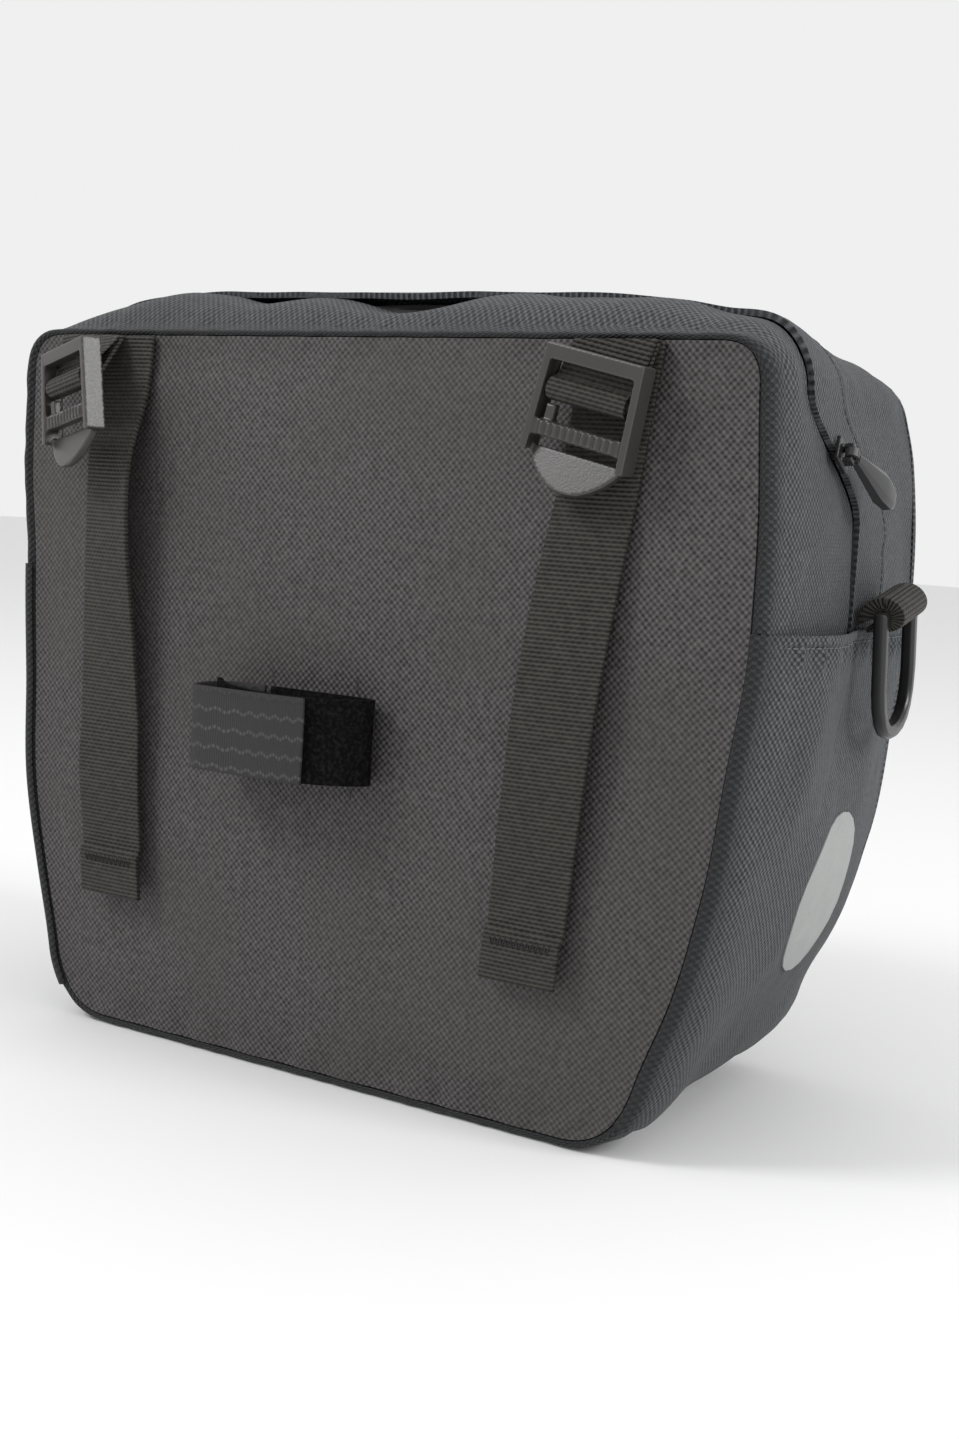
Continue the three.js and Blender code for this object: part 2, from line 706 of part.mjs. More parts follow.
// Round reflector, laid on the cloth of the right pocket in rings
function addReflector() {
  const rings = [1, 0.7, 0.35];
  const spokes = 24;
  const right = sides[0];
  const face = (share, angle, lift) => pocketFace(
    right,
    discCentreHeight + 0.5 * discDiameter * share * Math.sin(angle),
    discCentreDepth + 0.5 * discDiameter * share * Math.cos(angle),
    lift,
  );
  const grid = (lift) => rings.map((share) => Array.from({ length: spokes }, (_, k) => (
    face(share, (2 * Math.PI * k) / spokes, lift)
  )));
  const top = discGap + discThickness;
  const disc = panelBetween(grid(top), grid(discGap), face(0, 0, top), face(0, 0, discGap));
  addPiece('reflector_disc', disc, finish.reflector);
}

// Edge points of a webbing row: its middle, its direction across and the way it faces
function webbingRow(middle, across, out, width, thick) {
  const half = across.clone().normalize().multiplyScalar(width / 2);
  return { edge: [middle.clone().sub(half), middle.clone().add(half)], out, thick };
}

// Hanging straps: down as a share of the length, out as a share of the stand-off, turn in degrees
const strapRows = {
  right: [
    { down: 0, out: 0, turn: 0 },
    { down: 0.1, out: 0, turn: 0 },
    { down: 0.22, out: 0.1, turn: 0 },
    { down: 0.36, out: 0.5, turn: 4 },
    { down: 0.55, out: 1, turn: 5 },
    { down: 0.75, out: 0.9, turn: 3 },
    { down: 0.9, out: 0.7, turn: 0 },
    { down: 1, out: 0.6, turn: 0 },
  ],
  left: [
    { down: 0, out: 0, turn: 0 },
    { down: 0.1, out: 0.05, turn: -5 },
    { down: 0.22, out: 0.5, turn: -16 },
    { down: 0.36, out: 0.7, turn: -16 },
    { down: 0.55, out: 0.8, turn: -7 },
    { down: 0.75, out: 1, turn: 2 },
    { down: 0.9, out: 0.9, turn: 0 },
    { down: 1, out: 0.8, turn: 0 },
  ],
};

// Rear face of the panel in front of which the straps hang
function clearOfPanel(x, z, stand) {
  return rearPanelY(x, z) - gap - stand;
}

function addStraps() {
  const hemStart = 1 - strapHemLength / strapLength;
  for (const side of sides) {
    const table = strapRows[side.name];
    const at = hanging[side.name];
    const downs = [...table.map((row) => row.down).filter((down) => down < hemStart - 0.02), hemStart];
    const rowAt = (down, layers) => {
      const turn = THREE.MathUtils.degToRad(readTable(table, 'down', 'turn', down));
      const x = side.sign * (at.strapX - at.strapInward * down);
      const z = panelHeight - gap - strapLength * down;
      const swing = Math.abs(Math.sin(turn)) * webbingWidth / 2;
      const y = clearOfPanel(x, z, strapStandOff * readTable(table, 'down', 'out', down) + swing);
      const across = new THREE.Vector3(Math.cos(turn), Math.sin(turn), 0);
      const out = new THREE.Vector3(Math.sin(turn), -Math.cos(turn), 0);
      return webbingRow(new THREE.Vector3(x, y, z), across, out, webbingWidth, webbingThickness * layers);
    };
    const step = gap / strapLength;
    const rows = [
      ...downs.map((down) => rowAt(down, 1)),
      rowAt(hemStart + step, 2),
      rowAt(1, 2),
    ];
    addPiece(`strap_${side.name}`, ribbon(rows), finish.webbing);
  }
}

// Ladder buckle in its own axes: x across, z down from the top bar, y out of the panel is minus
function buckleGeometry() {
  const inner = buckleLowWidth - 2 * buckleRim;
  const splay = Math.atan((buckleLowWidth - buckleTopWidth) / 2 / buckleHeight);
  const sideBars = [-1, 1].map((sign) => (
    box(buckleRim, buckleDepth, buckleHeight, 0, 0, -buckleHeight / 2)
      .rotateY(-sign * splay)
      .translate(sign * (buckleTopWidth - buckleRim) / 2, 0, 0)
  ));
  const front = -buckleDepth / 2;
  const topBar = box(
    buckleTopWidth - 2 * barSeat,
    topBarDepth,
    buckleTopBar,
    0,
    front + topBarDepth / 2,
    -buckleTopBar / 2,
  );
  const crossBar = new THREE.CylinderGeometry(crossBarDiameter / 2, crossBarDiameter / 2, inner - barSeat, 10);
  crossBar.rotateZ(Math.PI / 2).translate(0, 0, -crossBarDrop);
  const toothFace = front + toothBarRecess;
  const toothBar = box(
    inner + barSeat,
    toothBarDepth,
    toothBarHeight,
    0,
    toothFace + toothBarDepth / 2,
    -toothBarDrop,
  );
  const toothPitch = (inner - 2 * toothEndMargin) / toothCount;
  const teeth = Array.from({ length: toothCount }, (_, k) => box(
    toothWidth,
    toothHeight * 2,
    toothBarHeight - 2 * toothHeight * barSeat,
    (k - (toothCount - 1) / 2) * toothPitch,
    toothFace,
    -toothBarDrop,
  ));
  const loopFoot = crossBarDrop + crossBarDiameter / 2 + webbingThickness + 3 * gap;
  const post = box(
    postWidth,
    postDepth,
    toothBarDrop - loopFoot,
    -inner * postAcross,
    toothFace + toothBarDepth / 2,
    -(toothBarDrop + loopFoot) / 2,
  );
  return joined([...sideBars, topBar, crossBar, toothBar, ...teeth, post, buckleTab()]);
}

// Sloping thumb tab under the tooth bar: a plate with a rounded end, whose shoulders and end are
// shares of its half width and its length
const tabShoulder = { across: 0.75, down: 0.72 };
const tabEnd = { across: 0.3, crest: 1.12 };

function buckleTab() {
  const half = buckleLowWidth / 2 - tabInset;
  const outline = new THREE.Shape();
  outline.moveTo(-half, 0);
  outline.lineTo(half, 0);
  const [shoulder, end] = [half * tabShoulder.across, half * tabEnd.across];
  outline.quadraticCurveTo(shoulder, -tabLength * tabShoulder.down, end, -tabLength);
  outline.quadraticCurveTo(0, -tabLength * tabEnd.crest, -end, -tabLength);
  outline.quadraticCurveTo(-shoulder, -tabLength * tabShoulder.down, -half, 0);
  const plate = new THREE.ExtrudeGeometry(outline, { depth: tabThickness, bevelEnabled: false, curveSegments: 4 });
  plate.rotateX(Math.PI / 2 - THREE.MathUtils.degToRad(tabSlope));
  return plate.translate(0, buckleDepth * tabBack, -buckleHeight + 2 * barSeat);
}

function addBuckles() {
  const buckleFoot = panelHeight - seamToBuckle - buckleHeight - tabLength;
  const geometry = buckleGeometry();
  for (const side of sides) {
    const pose = hanging[side.name];
    const swing = Math.abs(Math.sin(THREE.MathUtils.degToRad(pose.turn))) * buckleLowWidth / 2;
    const holder = new THREE.Group();
    holder.position.set(
      side.sign * pose.buckleX,
      clearOfPanel(side.sign * pose.buckleX, buckleFoot, buckleStandOff + buckleDepth / 2 + swing),
      panelHeight - seamToBuckle,
    );
    holder.rotation.set(0, THREE.MathUtils.degToRad(pose.lean), THREE.MathUtils.degToRad(pose.turn), 'ZYX');
    bag.add(holder);
    addPiece(`buckle_${side.name}`, geometry.clone(), finish.buckle, holder);
    addBuckleLoop(side, holder);
  }
}

// Short webbing loop from the top seam, behind the top bar and round the cross bar, with the angles
// of its turn in degrees
const buckleLoopWrap = [100, 60, 20, -20, -60, -100, -140];

function addBuckleLoop(side, holder) {
  holder.updateMatrixWorld(true);
  const inBuckle = (y, z) => [-1, 1].map((edge) => (
    new THREE.Vector3(edge * webbingWidth / 2, y, z).applyMatrix4(holder.matrixWorld)
  ));
  const face = (y, z) => new THREE.Vector3(0, y, z).transformDirection(holder.matrixWorld);
  const { buckleX, lean } = hanging[side.name];
  const seamX = side.sign * buckleX + seamToBuckle * Math.tan(THREE.MathUtils.degToRad(lean));
  const atSeam = (layer) => [-1, 1].map((edge) => new THREE.Vector3(
    seamX + edge * webbingWidth / 2,
    clearOfPanel(seamX, panelHeight, layer * (webbingThickness + gap) + webbingThickness),
    panelHeight - gap,
  ));
  const bend = crossBarDiameter / 2 + gap;
  const round = buckleLoopWrap.map((degrees) => {
    const angle = THREE.MathUtils.degToRad(degrees);
    const [y, z] = [-Math.cos(angle), Math.sin(angle)];
    return { edge: inBuckle(bend * y, -crossBarDrop + bend * z), out: face(y, z), thick: webbingThickness };
  });
  const back = new THREE.Vector3(0, 1, 0);
  const rows = [
    { edge: atSeam(2), out: back, thick: webbingThickness },
    ...round,
    { edge: atSeam(1), out: back, thick: webbingThickness },
  ];
  addPiece(`buckle_loop_${side.name}`, ribbon(rows), finish.webbing);
}

// Fastening tape seen from above: across from its left end to its right end as a share, out as a
// share of the stand-off, up in millimetres. The hook part laps over the fuzzy part.
const hookTapeRows = [
  { across: 0.28, out: 0, up: 0 },
  { across: 0.1, out: 0.03, up: 0 },
  { across: 0.01, out: 0.22, up: 0 },
  { across: 0, out: 0.5, up: 0 },
  { across: 0.04, out: 0.84, up: 0 },
  { across: 0.12, out: 0.98, up: 0 },
  { across: 0.4, out: 1, up: 0 },
  { across: 0.6, out: 1, up: 0 },
  { across: 0.77, out: 0.96, up: 0 },
];
const fuzzyTapeRows = [
  { across: 0.32, out: 0, up: 0 },
  { across: 0.8, out: 0, up: 0 },
  { across: 0.96, out: 0.08, up: 0 },
  { across: 1, out: 0.24, up: 0 },
  { across: 0.97, out: 0.46, up: 0 },
  { across: 0.88, out: 0.68, up: 0 },
  { across: 0.72, out: 0.87, up: 0 },
  { across: 0.5, out: 0.92, up: 0 },
  { across: 0.26, out: 0.86, up: 1 },
  { across: 0.18, out: 0.8, up: 2.4 },
];

function addFasteningTape() {
  const length = fasteningRight - fasteningLeft;
  const up = new THREE.Vector3(0, 0, 1);
  const tape = (table, inward) => {
    const middles = table.map((row) => {
      const x = fasteningLeft + length * row.across;
      return new THREE.Vector3(
        x,
        clearOfPanel(x, fasteningHeight, fasteningStandOff * row.out),
        fasteningHeight + row.up,
      );
    });
    return ribbon(middles.map((middle, k) => {
      const along = middles[Math.min(k + 1, middles.length - 1)].clone().sub(middles[Math.max(k - 1, 0)]);
      const out = along.setZ(0).normalize().cross(up).multiplyScalar(inward);
      return webbingRow(middle, up, out, fasteningWidth, fasteningThickness);
    }));
  };
  addPiece('hook_tape', tape(hookTapeRows, -1), finish.hook);
  addPiece('fuzzy_tape', tape(fuzzyTapeRows, 1), finish.loop);
}

// Place on a side wall where something is sewn or hung: local x out, y along the wall, z up
function sideHolder(side, height, depth) {
  const place = side.place(placeAtHeight(height));
  const share = depth / frontDepth(loopPoint(place));
  const point = gussetPoint(place, share);
  const out = gussetNormal(place, share).setZ(0).normalize();
  const holder = new THREE.Group();
  holder.position.copy(point);
  holder.rotation.z = Math.atan2(out.y, out.x);
  holder.rotateX(side.sign * THREE.MathUtils.degToRad(ringLoopTilt));
  bag.add(holder);
  return holder;
}

// Webbing loop from the hem's seam up, out over the ring's bar and back under it, in rows of its inner
// face: out as a share of the way from the wall to the bar, or past it as a share of ringLoopReach, up
// as a share of ringLoopRise over the bar's middle, and the angle that the outer face looks to
const ringLoopRows = [
  { out: 0.02, past: 0, up: -0.55, facing: 180 },
  { out: 0.05, past: 0, up: -0.05, facing: 175 },
  { out: 0.32, past: 0, up: 0.6, facing: 142 },
  { out: 0.72, past: 0, up: 0.97, facing: 108 },
  { out: 1, past: 0.25, up: 0.98, facing: 72 },
  { out: 1, past: 0.8, up: 0.6, facing: 36 },
  { out: 1, past: 1, up: 0, facing: 0 },
  { out: 1, past: 0.75, up: -0.42, facing: -52 },
  { out: 1, past: 0.1, up: -0.57, facing: -90 },
  { out: 0.5, past: 0, up: -0.59, facing: -85 },
  { out: 0.16, past: 0, up: -0.72, facing: -62 },
];

function ringLoopGeometry() {
  const foot = webbingThickness + 2 * gap;
  const across = new THREE.Vector3(0, 1, 0);
  return ribbon(ringLoopRows.map((row) => {
    const angle = THREE.MathUtils.degToRad(row.facing);
    const x = THREE.MathUtils.lerp(foot, ringAxisOut, row.out) + row.past * ringLoopReach;
    const out = new THREE.Vector3(Math.cos(angle), 0, Math.sin(angle));
    return webbingRow(new THREE.Vector3(x, 0, row.up * ringLoopRise), across, out, webbingWidth, webbingThickness);
  }));
}

// D-ring: straight bar through the webbing, two legs and a round foot, as one flat moulding
function ringGeometry() {
  const halfIn = webbingWidth / 2 + ringSideGap;
  const halfOut = halfIn + ringBar;
  const foot = ringHeight - ringBar / 2;
  const outline = (half, top, bottom) => {
    const shape = new THREE.Shape();
    const knee = -bottom + half * ringKneeShare;
    shape.moveTo(-half, knee);
    shape.quadraticCurveTo(-half * ringFootFullness, -bottom, 0, -bottom);
    shape.quadraticCurveTo(half * ringFootFullness, -bottom, half, knee);
    shape.lineTo(half, top);
    shape.lineTo(-half, top);
    shape.closePath();
    return shape;
  };
  const shape = outline(halfOut - ringBevel, ringBar / 2 - ringBevel, foot - ringBevel);
  shape.holes.push(outline(halfIn + ringBevel, ringBevel - ringBar / 2, foot - ringBar + ringBevel));
  const ring = new THREE.ExtrudeGeometry(shape, {
    depth: ringBar - 2 * ringBevel,
    bevelSize: ringBevel,
    bevelThickness: ringBevel,
    bevelSegments: 1,
    curveSegments: 5,
  });
  return ring.translate(0, 0, ringBevel - ringBar / 2).rotateX(Math.PI / 2).rotateZ(Math.PI / 2);
}

function addRings() {
  for (const side of sides) {
    const holder = sideHolder(side, pocketHemHeight + ringLoopAboveHem, ringLoopDepth);
    addPiece(`ring_loop_${side.name}`, ringLoopGeometry(), finish.webbing, holder);
    const ring = addPiece(`d_ring_${side.name}`, ringGeometry(), finish.ring, holder);
    ring.position.x = ringAxisOut;
  }
}

// Frame at the zip slider: x out of the cloth, z back up the zip, so the pull lies along -z
function sliderHolder() {
  const place = placeAtHeight(sliderAtHeight);
  const at = (k) => gussetPoint(k, zipShare(k));
  const up = at(place + 0.4).sub(at(place - 0.4)).normalize();
  const out = gussetNormal(place, zipShare(place));
  const across = new THREE.Vector3().crossVectors(up, out).normalize();
  out.crossVectors(across, up);
  const holder = new THREE.Group();
  holder.position.copy(at(place));
  holder.quaternion.setFromRotationMatrix(new THREE.Matrix4().makeBasis(out, across, up));
  bag.add(holder);
  return holder;
}

// Slider: a neck in the slit, a plate over the cloth and two ears with a pin
function sliderGeometry() {
  const low = coilHeight + gap - clothWall - zipTapeGap;
  const neckTop = plateOut + sliderSeat;
  const neck = box(neckTop - low, sliderNeck, sliderNeckLength, (neckTop + low) / 2, 0, 0);
  const cover = box(sliderPlate, sliderWidth, sliderLength, plateOut + sliderPlate / 2, 0, 0);
  const ears = [-1, 1].map((sign) => box(
    sliderHeight,
    earThickness,
    earLength,
    plateOut + sliderHeight / 2 + sliderSeat * 2,
    sign * (pullEye / 2 + gap + earThickness / 2),
    0,
  ));
  const pin = new THREE.CylinderGeometry(pullPin / 2, pullPin / 2, pullEye + 2 * gap + earThickness, 8);
  return joined([neck, cover, ...ears, pin.translate(pinOut, 0, 0)]);
}

// Grip of the pull from its neck to its blunt end: down as a share of the length, wide and deep
// as shares of the width and thickness
const gripRows = [
  { down: 0.1, wide: 0.34, deep: 0.5 },
  { down: 0.2, wide: 0.46, deep: 0.66 },
  { down: 0.7, wide: 1, deep: 1 },
  { down: 0.93, wide: 0.82, deep: 0.86 },
  { down: 1, wide: 0.6, deep: 0.6 },
];

// Pull tab: an eye on the pin, then a long faceted grip with eight flats
const gripCorners = [22, 68, 112, 158, 202, 248, 292, 338];
const gripSquareness = 0.6;

function pullGeometry() {
  const squared = (value) => Math.sign(value) * Math.abs(value) ** gripSquareness;
  const corner = (row, angle) => new THREE.Vector3(
    0.5 * pullThickness * row.deep * squared(Math.cos(angle)),
    0.5 * pullWidth * row.wide * squared(Math.sin(angle)),
    -pullLength * row.down,
  );
  const rings = gripRows.map((row) => gripCorners.map((degrees) => (
    corner(row, THREE.MathUtils.degToRad(degrees))
  )));
  const grip = tubeThrough(rings);
  const eyeRadius = pullPin / 2 + gap + pullWall;
  const eye = new THREE.CylinderGeometry(eyeRadius, eyeRadius, pullEye, 10);
  const stem = box(pullPin, pullEye, stemLength, 0, 0, -eyeRadius - stemLength / 2 + pullWall);
  const bore = new THREE.CylinderGeometry(pullPin / 2 + gap, pullPin / 2 + gap, pullEye + 2 * pullWall, 10);
  return fromManifold([grip, stem].map(toManifold)
    .reduce((sum, part) => sum.add(part), toManifold(eye))
    .subtract(toManifold(bore)));
}

function addZipPull() {
  const holder = sliderHolder();
  addPiece('zip_slider', sliderGeometry(), finish.zip, holder);
  const pull = addPiece('zip_pull', pullGeometry(), finish.pull, holder);
  pull.position.x = pinOut;
  pull.rotation.y = -THREE.MathUtils.degToRad(pullRestAngle);
}

addBody();
addZip();
addPockets();
addReflector();
addStraps();
addBuckles();
addFasteningTape();
addRings();
addZipPull();

// The bag stands with the middle of its box over the origin and its bottom at zero
const bounds = new THREE.Box3().setFromObject(bag);
bag.position.set(
  -(bounds.min.x + bounds.max.x) / 2,
  -(bounds.min.y + bounds.max.y) / 2,
  -bounds.min.z,
);

export default bag;
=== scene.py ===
# %% [markdown]
# # A handlebar bag
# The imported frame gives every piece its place. This file dresses it: smooth cloth over the flat
# facets, a weave with its seams and stitches, ribbed webbing, moulded plastic and a zip.

# %% Load the frame
import json
import math

import bpy
from mathutils import Matrix, Vector, noise


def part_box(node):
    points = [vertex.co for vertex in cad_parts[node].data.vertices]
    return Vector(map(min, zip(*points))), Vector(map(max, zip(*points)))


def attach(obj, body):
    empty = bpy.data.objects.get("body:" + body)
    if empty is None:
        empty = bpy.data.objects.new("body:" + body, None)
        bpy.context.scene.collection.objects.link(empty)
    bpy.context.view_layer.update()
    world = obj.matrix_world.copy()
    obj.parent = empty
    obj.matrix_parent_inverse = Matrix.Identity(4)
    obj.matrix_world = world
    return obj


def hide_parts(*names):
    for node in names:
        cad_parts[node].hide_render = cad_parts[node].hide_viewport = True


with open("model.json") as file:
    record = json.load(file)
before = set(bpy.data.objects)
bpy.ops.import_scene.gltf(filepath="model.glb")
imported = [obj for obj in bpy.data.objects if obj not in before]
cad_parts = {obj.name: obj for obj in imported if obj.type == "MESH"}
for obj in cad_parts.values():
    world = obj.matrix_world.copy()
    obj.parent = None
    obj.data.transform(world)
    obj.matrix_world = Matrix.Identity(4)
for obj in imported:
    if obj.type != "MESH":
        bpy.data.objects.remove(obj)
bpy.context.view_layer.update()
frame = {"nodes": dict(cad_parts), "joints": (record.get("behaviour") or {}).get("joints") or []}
nodes = frame["nodes"]

# %% [markdown]
# ## Where the bag was measured from
# The bag's sizes are in millimetres from the middle of its bottom rear seam. The frame has its
# origin in the middle of the whole box, so one shift carries a point from the one to the other.
# The shift is read off the rear panel, whose own sizes are known.

# %% Millimetres to the frame
panel_height = 221.0
panel_half_width = 135.5
cloth_wall = 1.8
rear_low, rear_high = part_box("rear_panel")
shift = Vector((
    rear_high[0] - panel_half_width / 1000,
    rear_high[1] - cloth_wall / 1000,
    rear_low[2],
))


def in_frame(x, y, z):
    """Point in metres in the frame, from millimetres off the bottom rear seam"""
    return Vector((x, y, z)) / 1000 + shift


print("shift", [round(value, 5) for value in shift])

# %% [markdown]
# ## The camera
# It looks slightly down, from behind and from the right, and leans a little to one side, so the
# seams run as they do in the photograph. The lens is about 50 mm on a sensor 36 mm tall.

# %% Camera
sensor_height = 36
focal_length = 2000 / 1439 * sensor_height
turn = math.radians(33.93)
pitch = math.radians(6.14)
lean = math.radians(3.68)
forward = Vector((-math.sin(turn) * math.cos(pitch), math.cos(turn) * math.cos(pitch), -math.sin(pitch)))
level = Vector((math.cos(turn), math.sin(turn), 0))
upright = level.cross(forward)
right = level * math.cos(lean) + upright * math.sin(lean)
above = upright * math.cos(lean) - level * math.sin(lean)
bpy.ops.object.camera_add()
camera = bpy.context.object
camera.name = "camera"
camera.matrix_world = Matrix.Translation(in_frame(368.065, -468.423, 174.877)) @ Matrix((
    (right.x, above.x, -forward.x, 0),
    (right.y, above.y, -forward.y, 0),
    (right.z, above.z, -forward.z, 0),
    (0, 0, 0, 1),
))
camera.data.sensor_fit = "VERTICAL"
camera.data.sensor_height = sensor_height
camera.data.lens = focal_length
camera.data.clip_start = 0.01
bpy.context.scene.camera = camera
print("camera at", [round(value, 3) for value in camera.location])

# %% [markdown]
# ## Floor and light
# A pale floor and a pale sky make an even studio. One large soft lamp stands high on the left
# behind the camera, and a second on the right draws the bright edges on the plastic and the ring,
# whose edges also carry a painted highlight.

# %% Studio
bpy.ops.mesh.primitive_plane_add(size=12, location=(0, 0, 0))
floor = bpy.context.object
floor.name = "floor"
floor_paint = bpy.data.materials.new("pale_floor")
floor_paint.use_nodes = True
floor_shader = floor_paint.node_tree.nodes["Principled BSDF"]
floor_shader.inputs["Base Color"].default_value = (0.8, 0.8, 0.8, 1)
floor_shader.inputs["Roughness"].default_value = 0.8
floor.data.materials.append(floor_paint)

sky = bpy.data.worlds.new("studio")
sky.use_nodes = True
sky.node_tree.nodes["Background"].inputs["Color"].default_value = (1, 1, 1, 1)
sky.node_tree.nodes["Background"].inputs["Strength"].default_value = 0.87
bpy.context.scene.world = sky
bpy.context.scene.view_settings.view_transform = "Standard"


def soft_lamp(name, place, aim, size, power):
    """Square lamp at a place, turned to its aim"""
    bpy.ops.object.light_add(type="AREA", location=place)
    lamp = bpy.context.object
    lamp.name = name
    lamp.data.size = size
    lamp.data.energy = power
    lamp.rotation_euler = (Vector(aim) - Vector(place)).to_track_quat("-Z", "Y").to_euler()


soft_lamp("lamp_left", (-0.95, -1.25, 1.5), (-0.05, 0, 0.14), 0.6, 18)
soft_lamp("lamp_right", (1.7, 0.1, 1.1), (0.1, 0, 0.12), 0.6, 16)

# %% [markdown]
# ## Shader maths
# A finish is a small web of nodes. Writing it as sums keeps it readable: a Wire stands for one
# output socket, and adding or multiplying wires places the Math nodes that do it.

# %% A wire and a finish


class Wire:
    """One output socket, which can be used in sums"""

    def __init__(self, finish, socket):
        self.finish = finish
        self.socket = socket

    def maths(self, operation, *others):
        inputs = {0: self, **{k + 1: other for k, other in enumerate(others)}}
        return self.finish.node("ShaderNodeMath", {"operation": operation}, inputs)

    def __add__(self, other):
        return self.maths("ADD", other)

    __radd__ = __add__

    def __mul__(self, other):
        return self.maths("MULTIPLY", other)

    __rmul__ = __mul__

    def __sub__(self, other):
        return self.maths("SUBTRACT", other)

    def __rsub__(self, other):
        return self.maths("MULTIPLY", -1.0).maths("ADD", other)

    def __truediv__(self, other):
        return self.maths("DIVIDE", other)

    def __pow__(self, power):
        return self.maths("POWER", power)

    def __abs__(self):
        return self.maths("ABSOLUTE")

    def wave(self, length):
        """Sine from -1 to 1 that repeats at each length"""
        return (self * (2 * math.pi / length)).maths("SINE")

    def above(self, limit):
        return self.maths("GREATER_THAN", limit)

    def kept(self, low=0.0, high=1.0):
        return self.finish.node("ShaderNodeClamp", {}, {"Value": self, "Min": low, "Max": high})

    def ramp(self, low, high):
        """Smooth step from 0 at low to 1 at high"""
        settings = {"interpolation_type": "SMOOTHSTEP"}
        inputs = {"Value": self, "From Min": low, "From Max": high}
        return self.finish.node("ShaderNodeMapRange", settings, inputs)


class Finish:
    """A material under construction"""

    def __init__(self, name):
        self.material = bpy.data.materials.new(name)
        self.material.use_nodes = True
        self.tree = self.material.node_tree
        self.shader = self.tree.nodes["Principled BSDF"]

    def node(self, kind, settings, inputs, output=0):
        made = self.tree.nodes.new(kind)
        for key, value in settings.items():
            setattr(made, key, value)
        for key, value in inputs.items():
            if isinstance(value, Wire):
                self.tree.links.new(value.socket, made.inputs[key])
            else:
                made.inputs[key].default_value = value
        return Wire(self, made.outputs[output])

    def cloth_axes(self):
        """Along and across the cloth, in metres, from the piece's own UV map"""
        uv = self.node("ShaderNodeTexCoord", {}, {}, "UV")
        split = self.node("ShaderNodeSeparateXYZ", {}, {0: uv})
        return split, Wire(self, split.socket.node.outputs[1])

    def place(self):
        return self.node("ShaderNodeTexCoord", {}, {}, "Object")

    def grain(self, scale, detail=2.0):
        """Noise around 0.5 in the object's own space"""
        return self.node("ShaderNodeTexNoise", {}, {"Vector": self.place(), "Scale": scale, "Detail": detail})

    def blend(self, amount, low, high):
        """Colour between two, each a wire or red, green and blue"""
        low, high = (end if isinstance(end, Wire) else (*end, 1) for end in (low, high))
        return self.node("ShaderNodeMix", {"data_type": "RGBA"}, {0: amount, 6: low, 7: high}, 2)

    def relief(self, height, depth, strength=1.0):
        """Bump of a height from 0 to 1 over a depth in metres"""
        inputs = {"Height": height, "Distance": depth, "Strength": strength}
        normal = self.node("ShaderNodeBump", {}, inputs)
        self.tree.links.new(normal.socket, self.shader.inputs["Normal"])

    def feed(self, name, value):
        if isinstance(value, Wire):
            self.tree.links.new(value.socket, self.shader.inputs[name])
        else:
            self.shader.inputs[name].default_value = value


# %% [markdown]
# ## Woven cloth
# The cloth is a coarse plain weave: threads pass over and under in turn, so the raised crossings
# stand in staggered rows. The product of two sines has that pattern. It raises the crossings in
# relief, and its peaks are painted lighter and its valleys darker, as painted highlight and shade.
# Slow noise makes the dye and the wear uneven.

# %% Cloth finish
thread_pair = 0.0021
thread_wander = 0.0006
# Depth up to which the roll beside the rear seam gets painted shade
roll_shade_depth = rear_high[1] - cloth_wall / 1000 + 0.004


def cloth_finish(name, dark, light, warm, contrast, fold=0.0):
    """Woven cloth; contrast lifts the threads, fold is the strength of the painted shade that darkens the
    roll beside the rear seam
    """
    finish = Finish(name)
    along, across = finish.cloth_axes()
    wander = (finish.grain(55, 3.0) - 0.5) * thread_wander
    crossing = (along + wander).wave(thread_pair) * (across + wander).wave(thread_pair)
    threads = (crossing * contrast + 0.42).kept()
    patches = finish.grain(16, 3.0)
    slubs = finish.grain(700, 2.0).ramp(0.3, 0.72)
    fibres = finish.grain(1500, 1.0)
    # Painted highlight and shade: the raised crossings are blended toward the light colour and the hollows
    # toward the dark one; slubs and fibres vary it too
    cloth = finish.blend((threads * 0.72 + fibres * 0.14 + slubs * 0.26 - 0.1).kept(), dark, light)
    cloth = finish.blend(patches.ramp(0.42, 0.68) * 0.35, cloth, warm)
    # Painted shade: the cloth is blended toward its dark colour where the UV's second axis lies below a set
    # depth, which on the gusset bands is the roll beside the rear seam
    cloth = finish.blend((1 - across.ramp(roll_shade_depth - 0.008, roll_shade_depth + 0.004)) * fold, cloth, dark)
    finish.feed("Base Color", cloth)
    finish.feed("Roughness", 0.56 + patches * 0.16)
    finish.relief(threads * 0.85 + fibres * 0.15, contrast * 0.0007, 1.0)
    finish.shader.inputs["Specular IOR Level"].default_value = 0.34
    finish.shader.inputs["Sheen Weight"].default_value = 0.04
    finish.shader.inputs["Sheen Roughness"].default_value = 0.5
    return finish.material


# The last number of each is the strength of the painted shade by the rear seam
rear_cloth = cloth_finish(
    "rear_cloth", (0.006, 0.0054, 0.0055), (0.122, 0.113, 0.113), (0.05, 0.042, 0.041), 0.5, 0.3,
)
# The side cloth's light colour is bluish and its contrast higher: a painted highlight on the raised crossings
# of its weave
side_cloth = cloth_finish(
    "side_cloth", (0.0025, 0.0028, 0.0033), (0.11, 0.117, 0.128), (0.03, 0.032, 0.035), 0.85, 0.8,
)

# %% [markdown]
# ## Webbing, tapes and thread
# Webbing is woven tightly across its width, so it shows a rib every 1.25 mm, broken into knots.
# The hook tape has four rows of bristles on fine ribs, and the other half of the fastening is a
# dense black pile.

# %% Webbing and tape finishes
rib = 0.00125


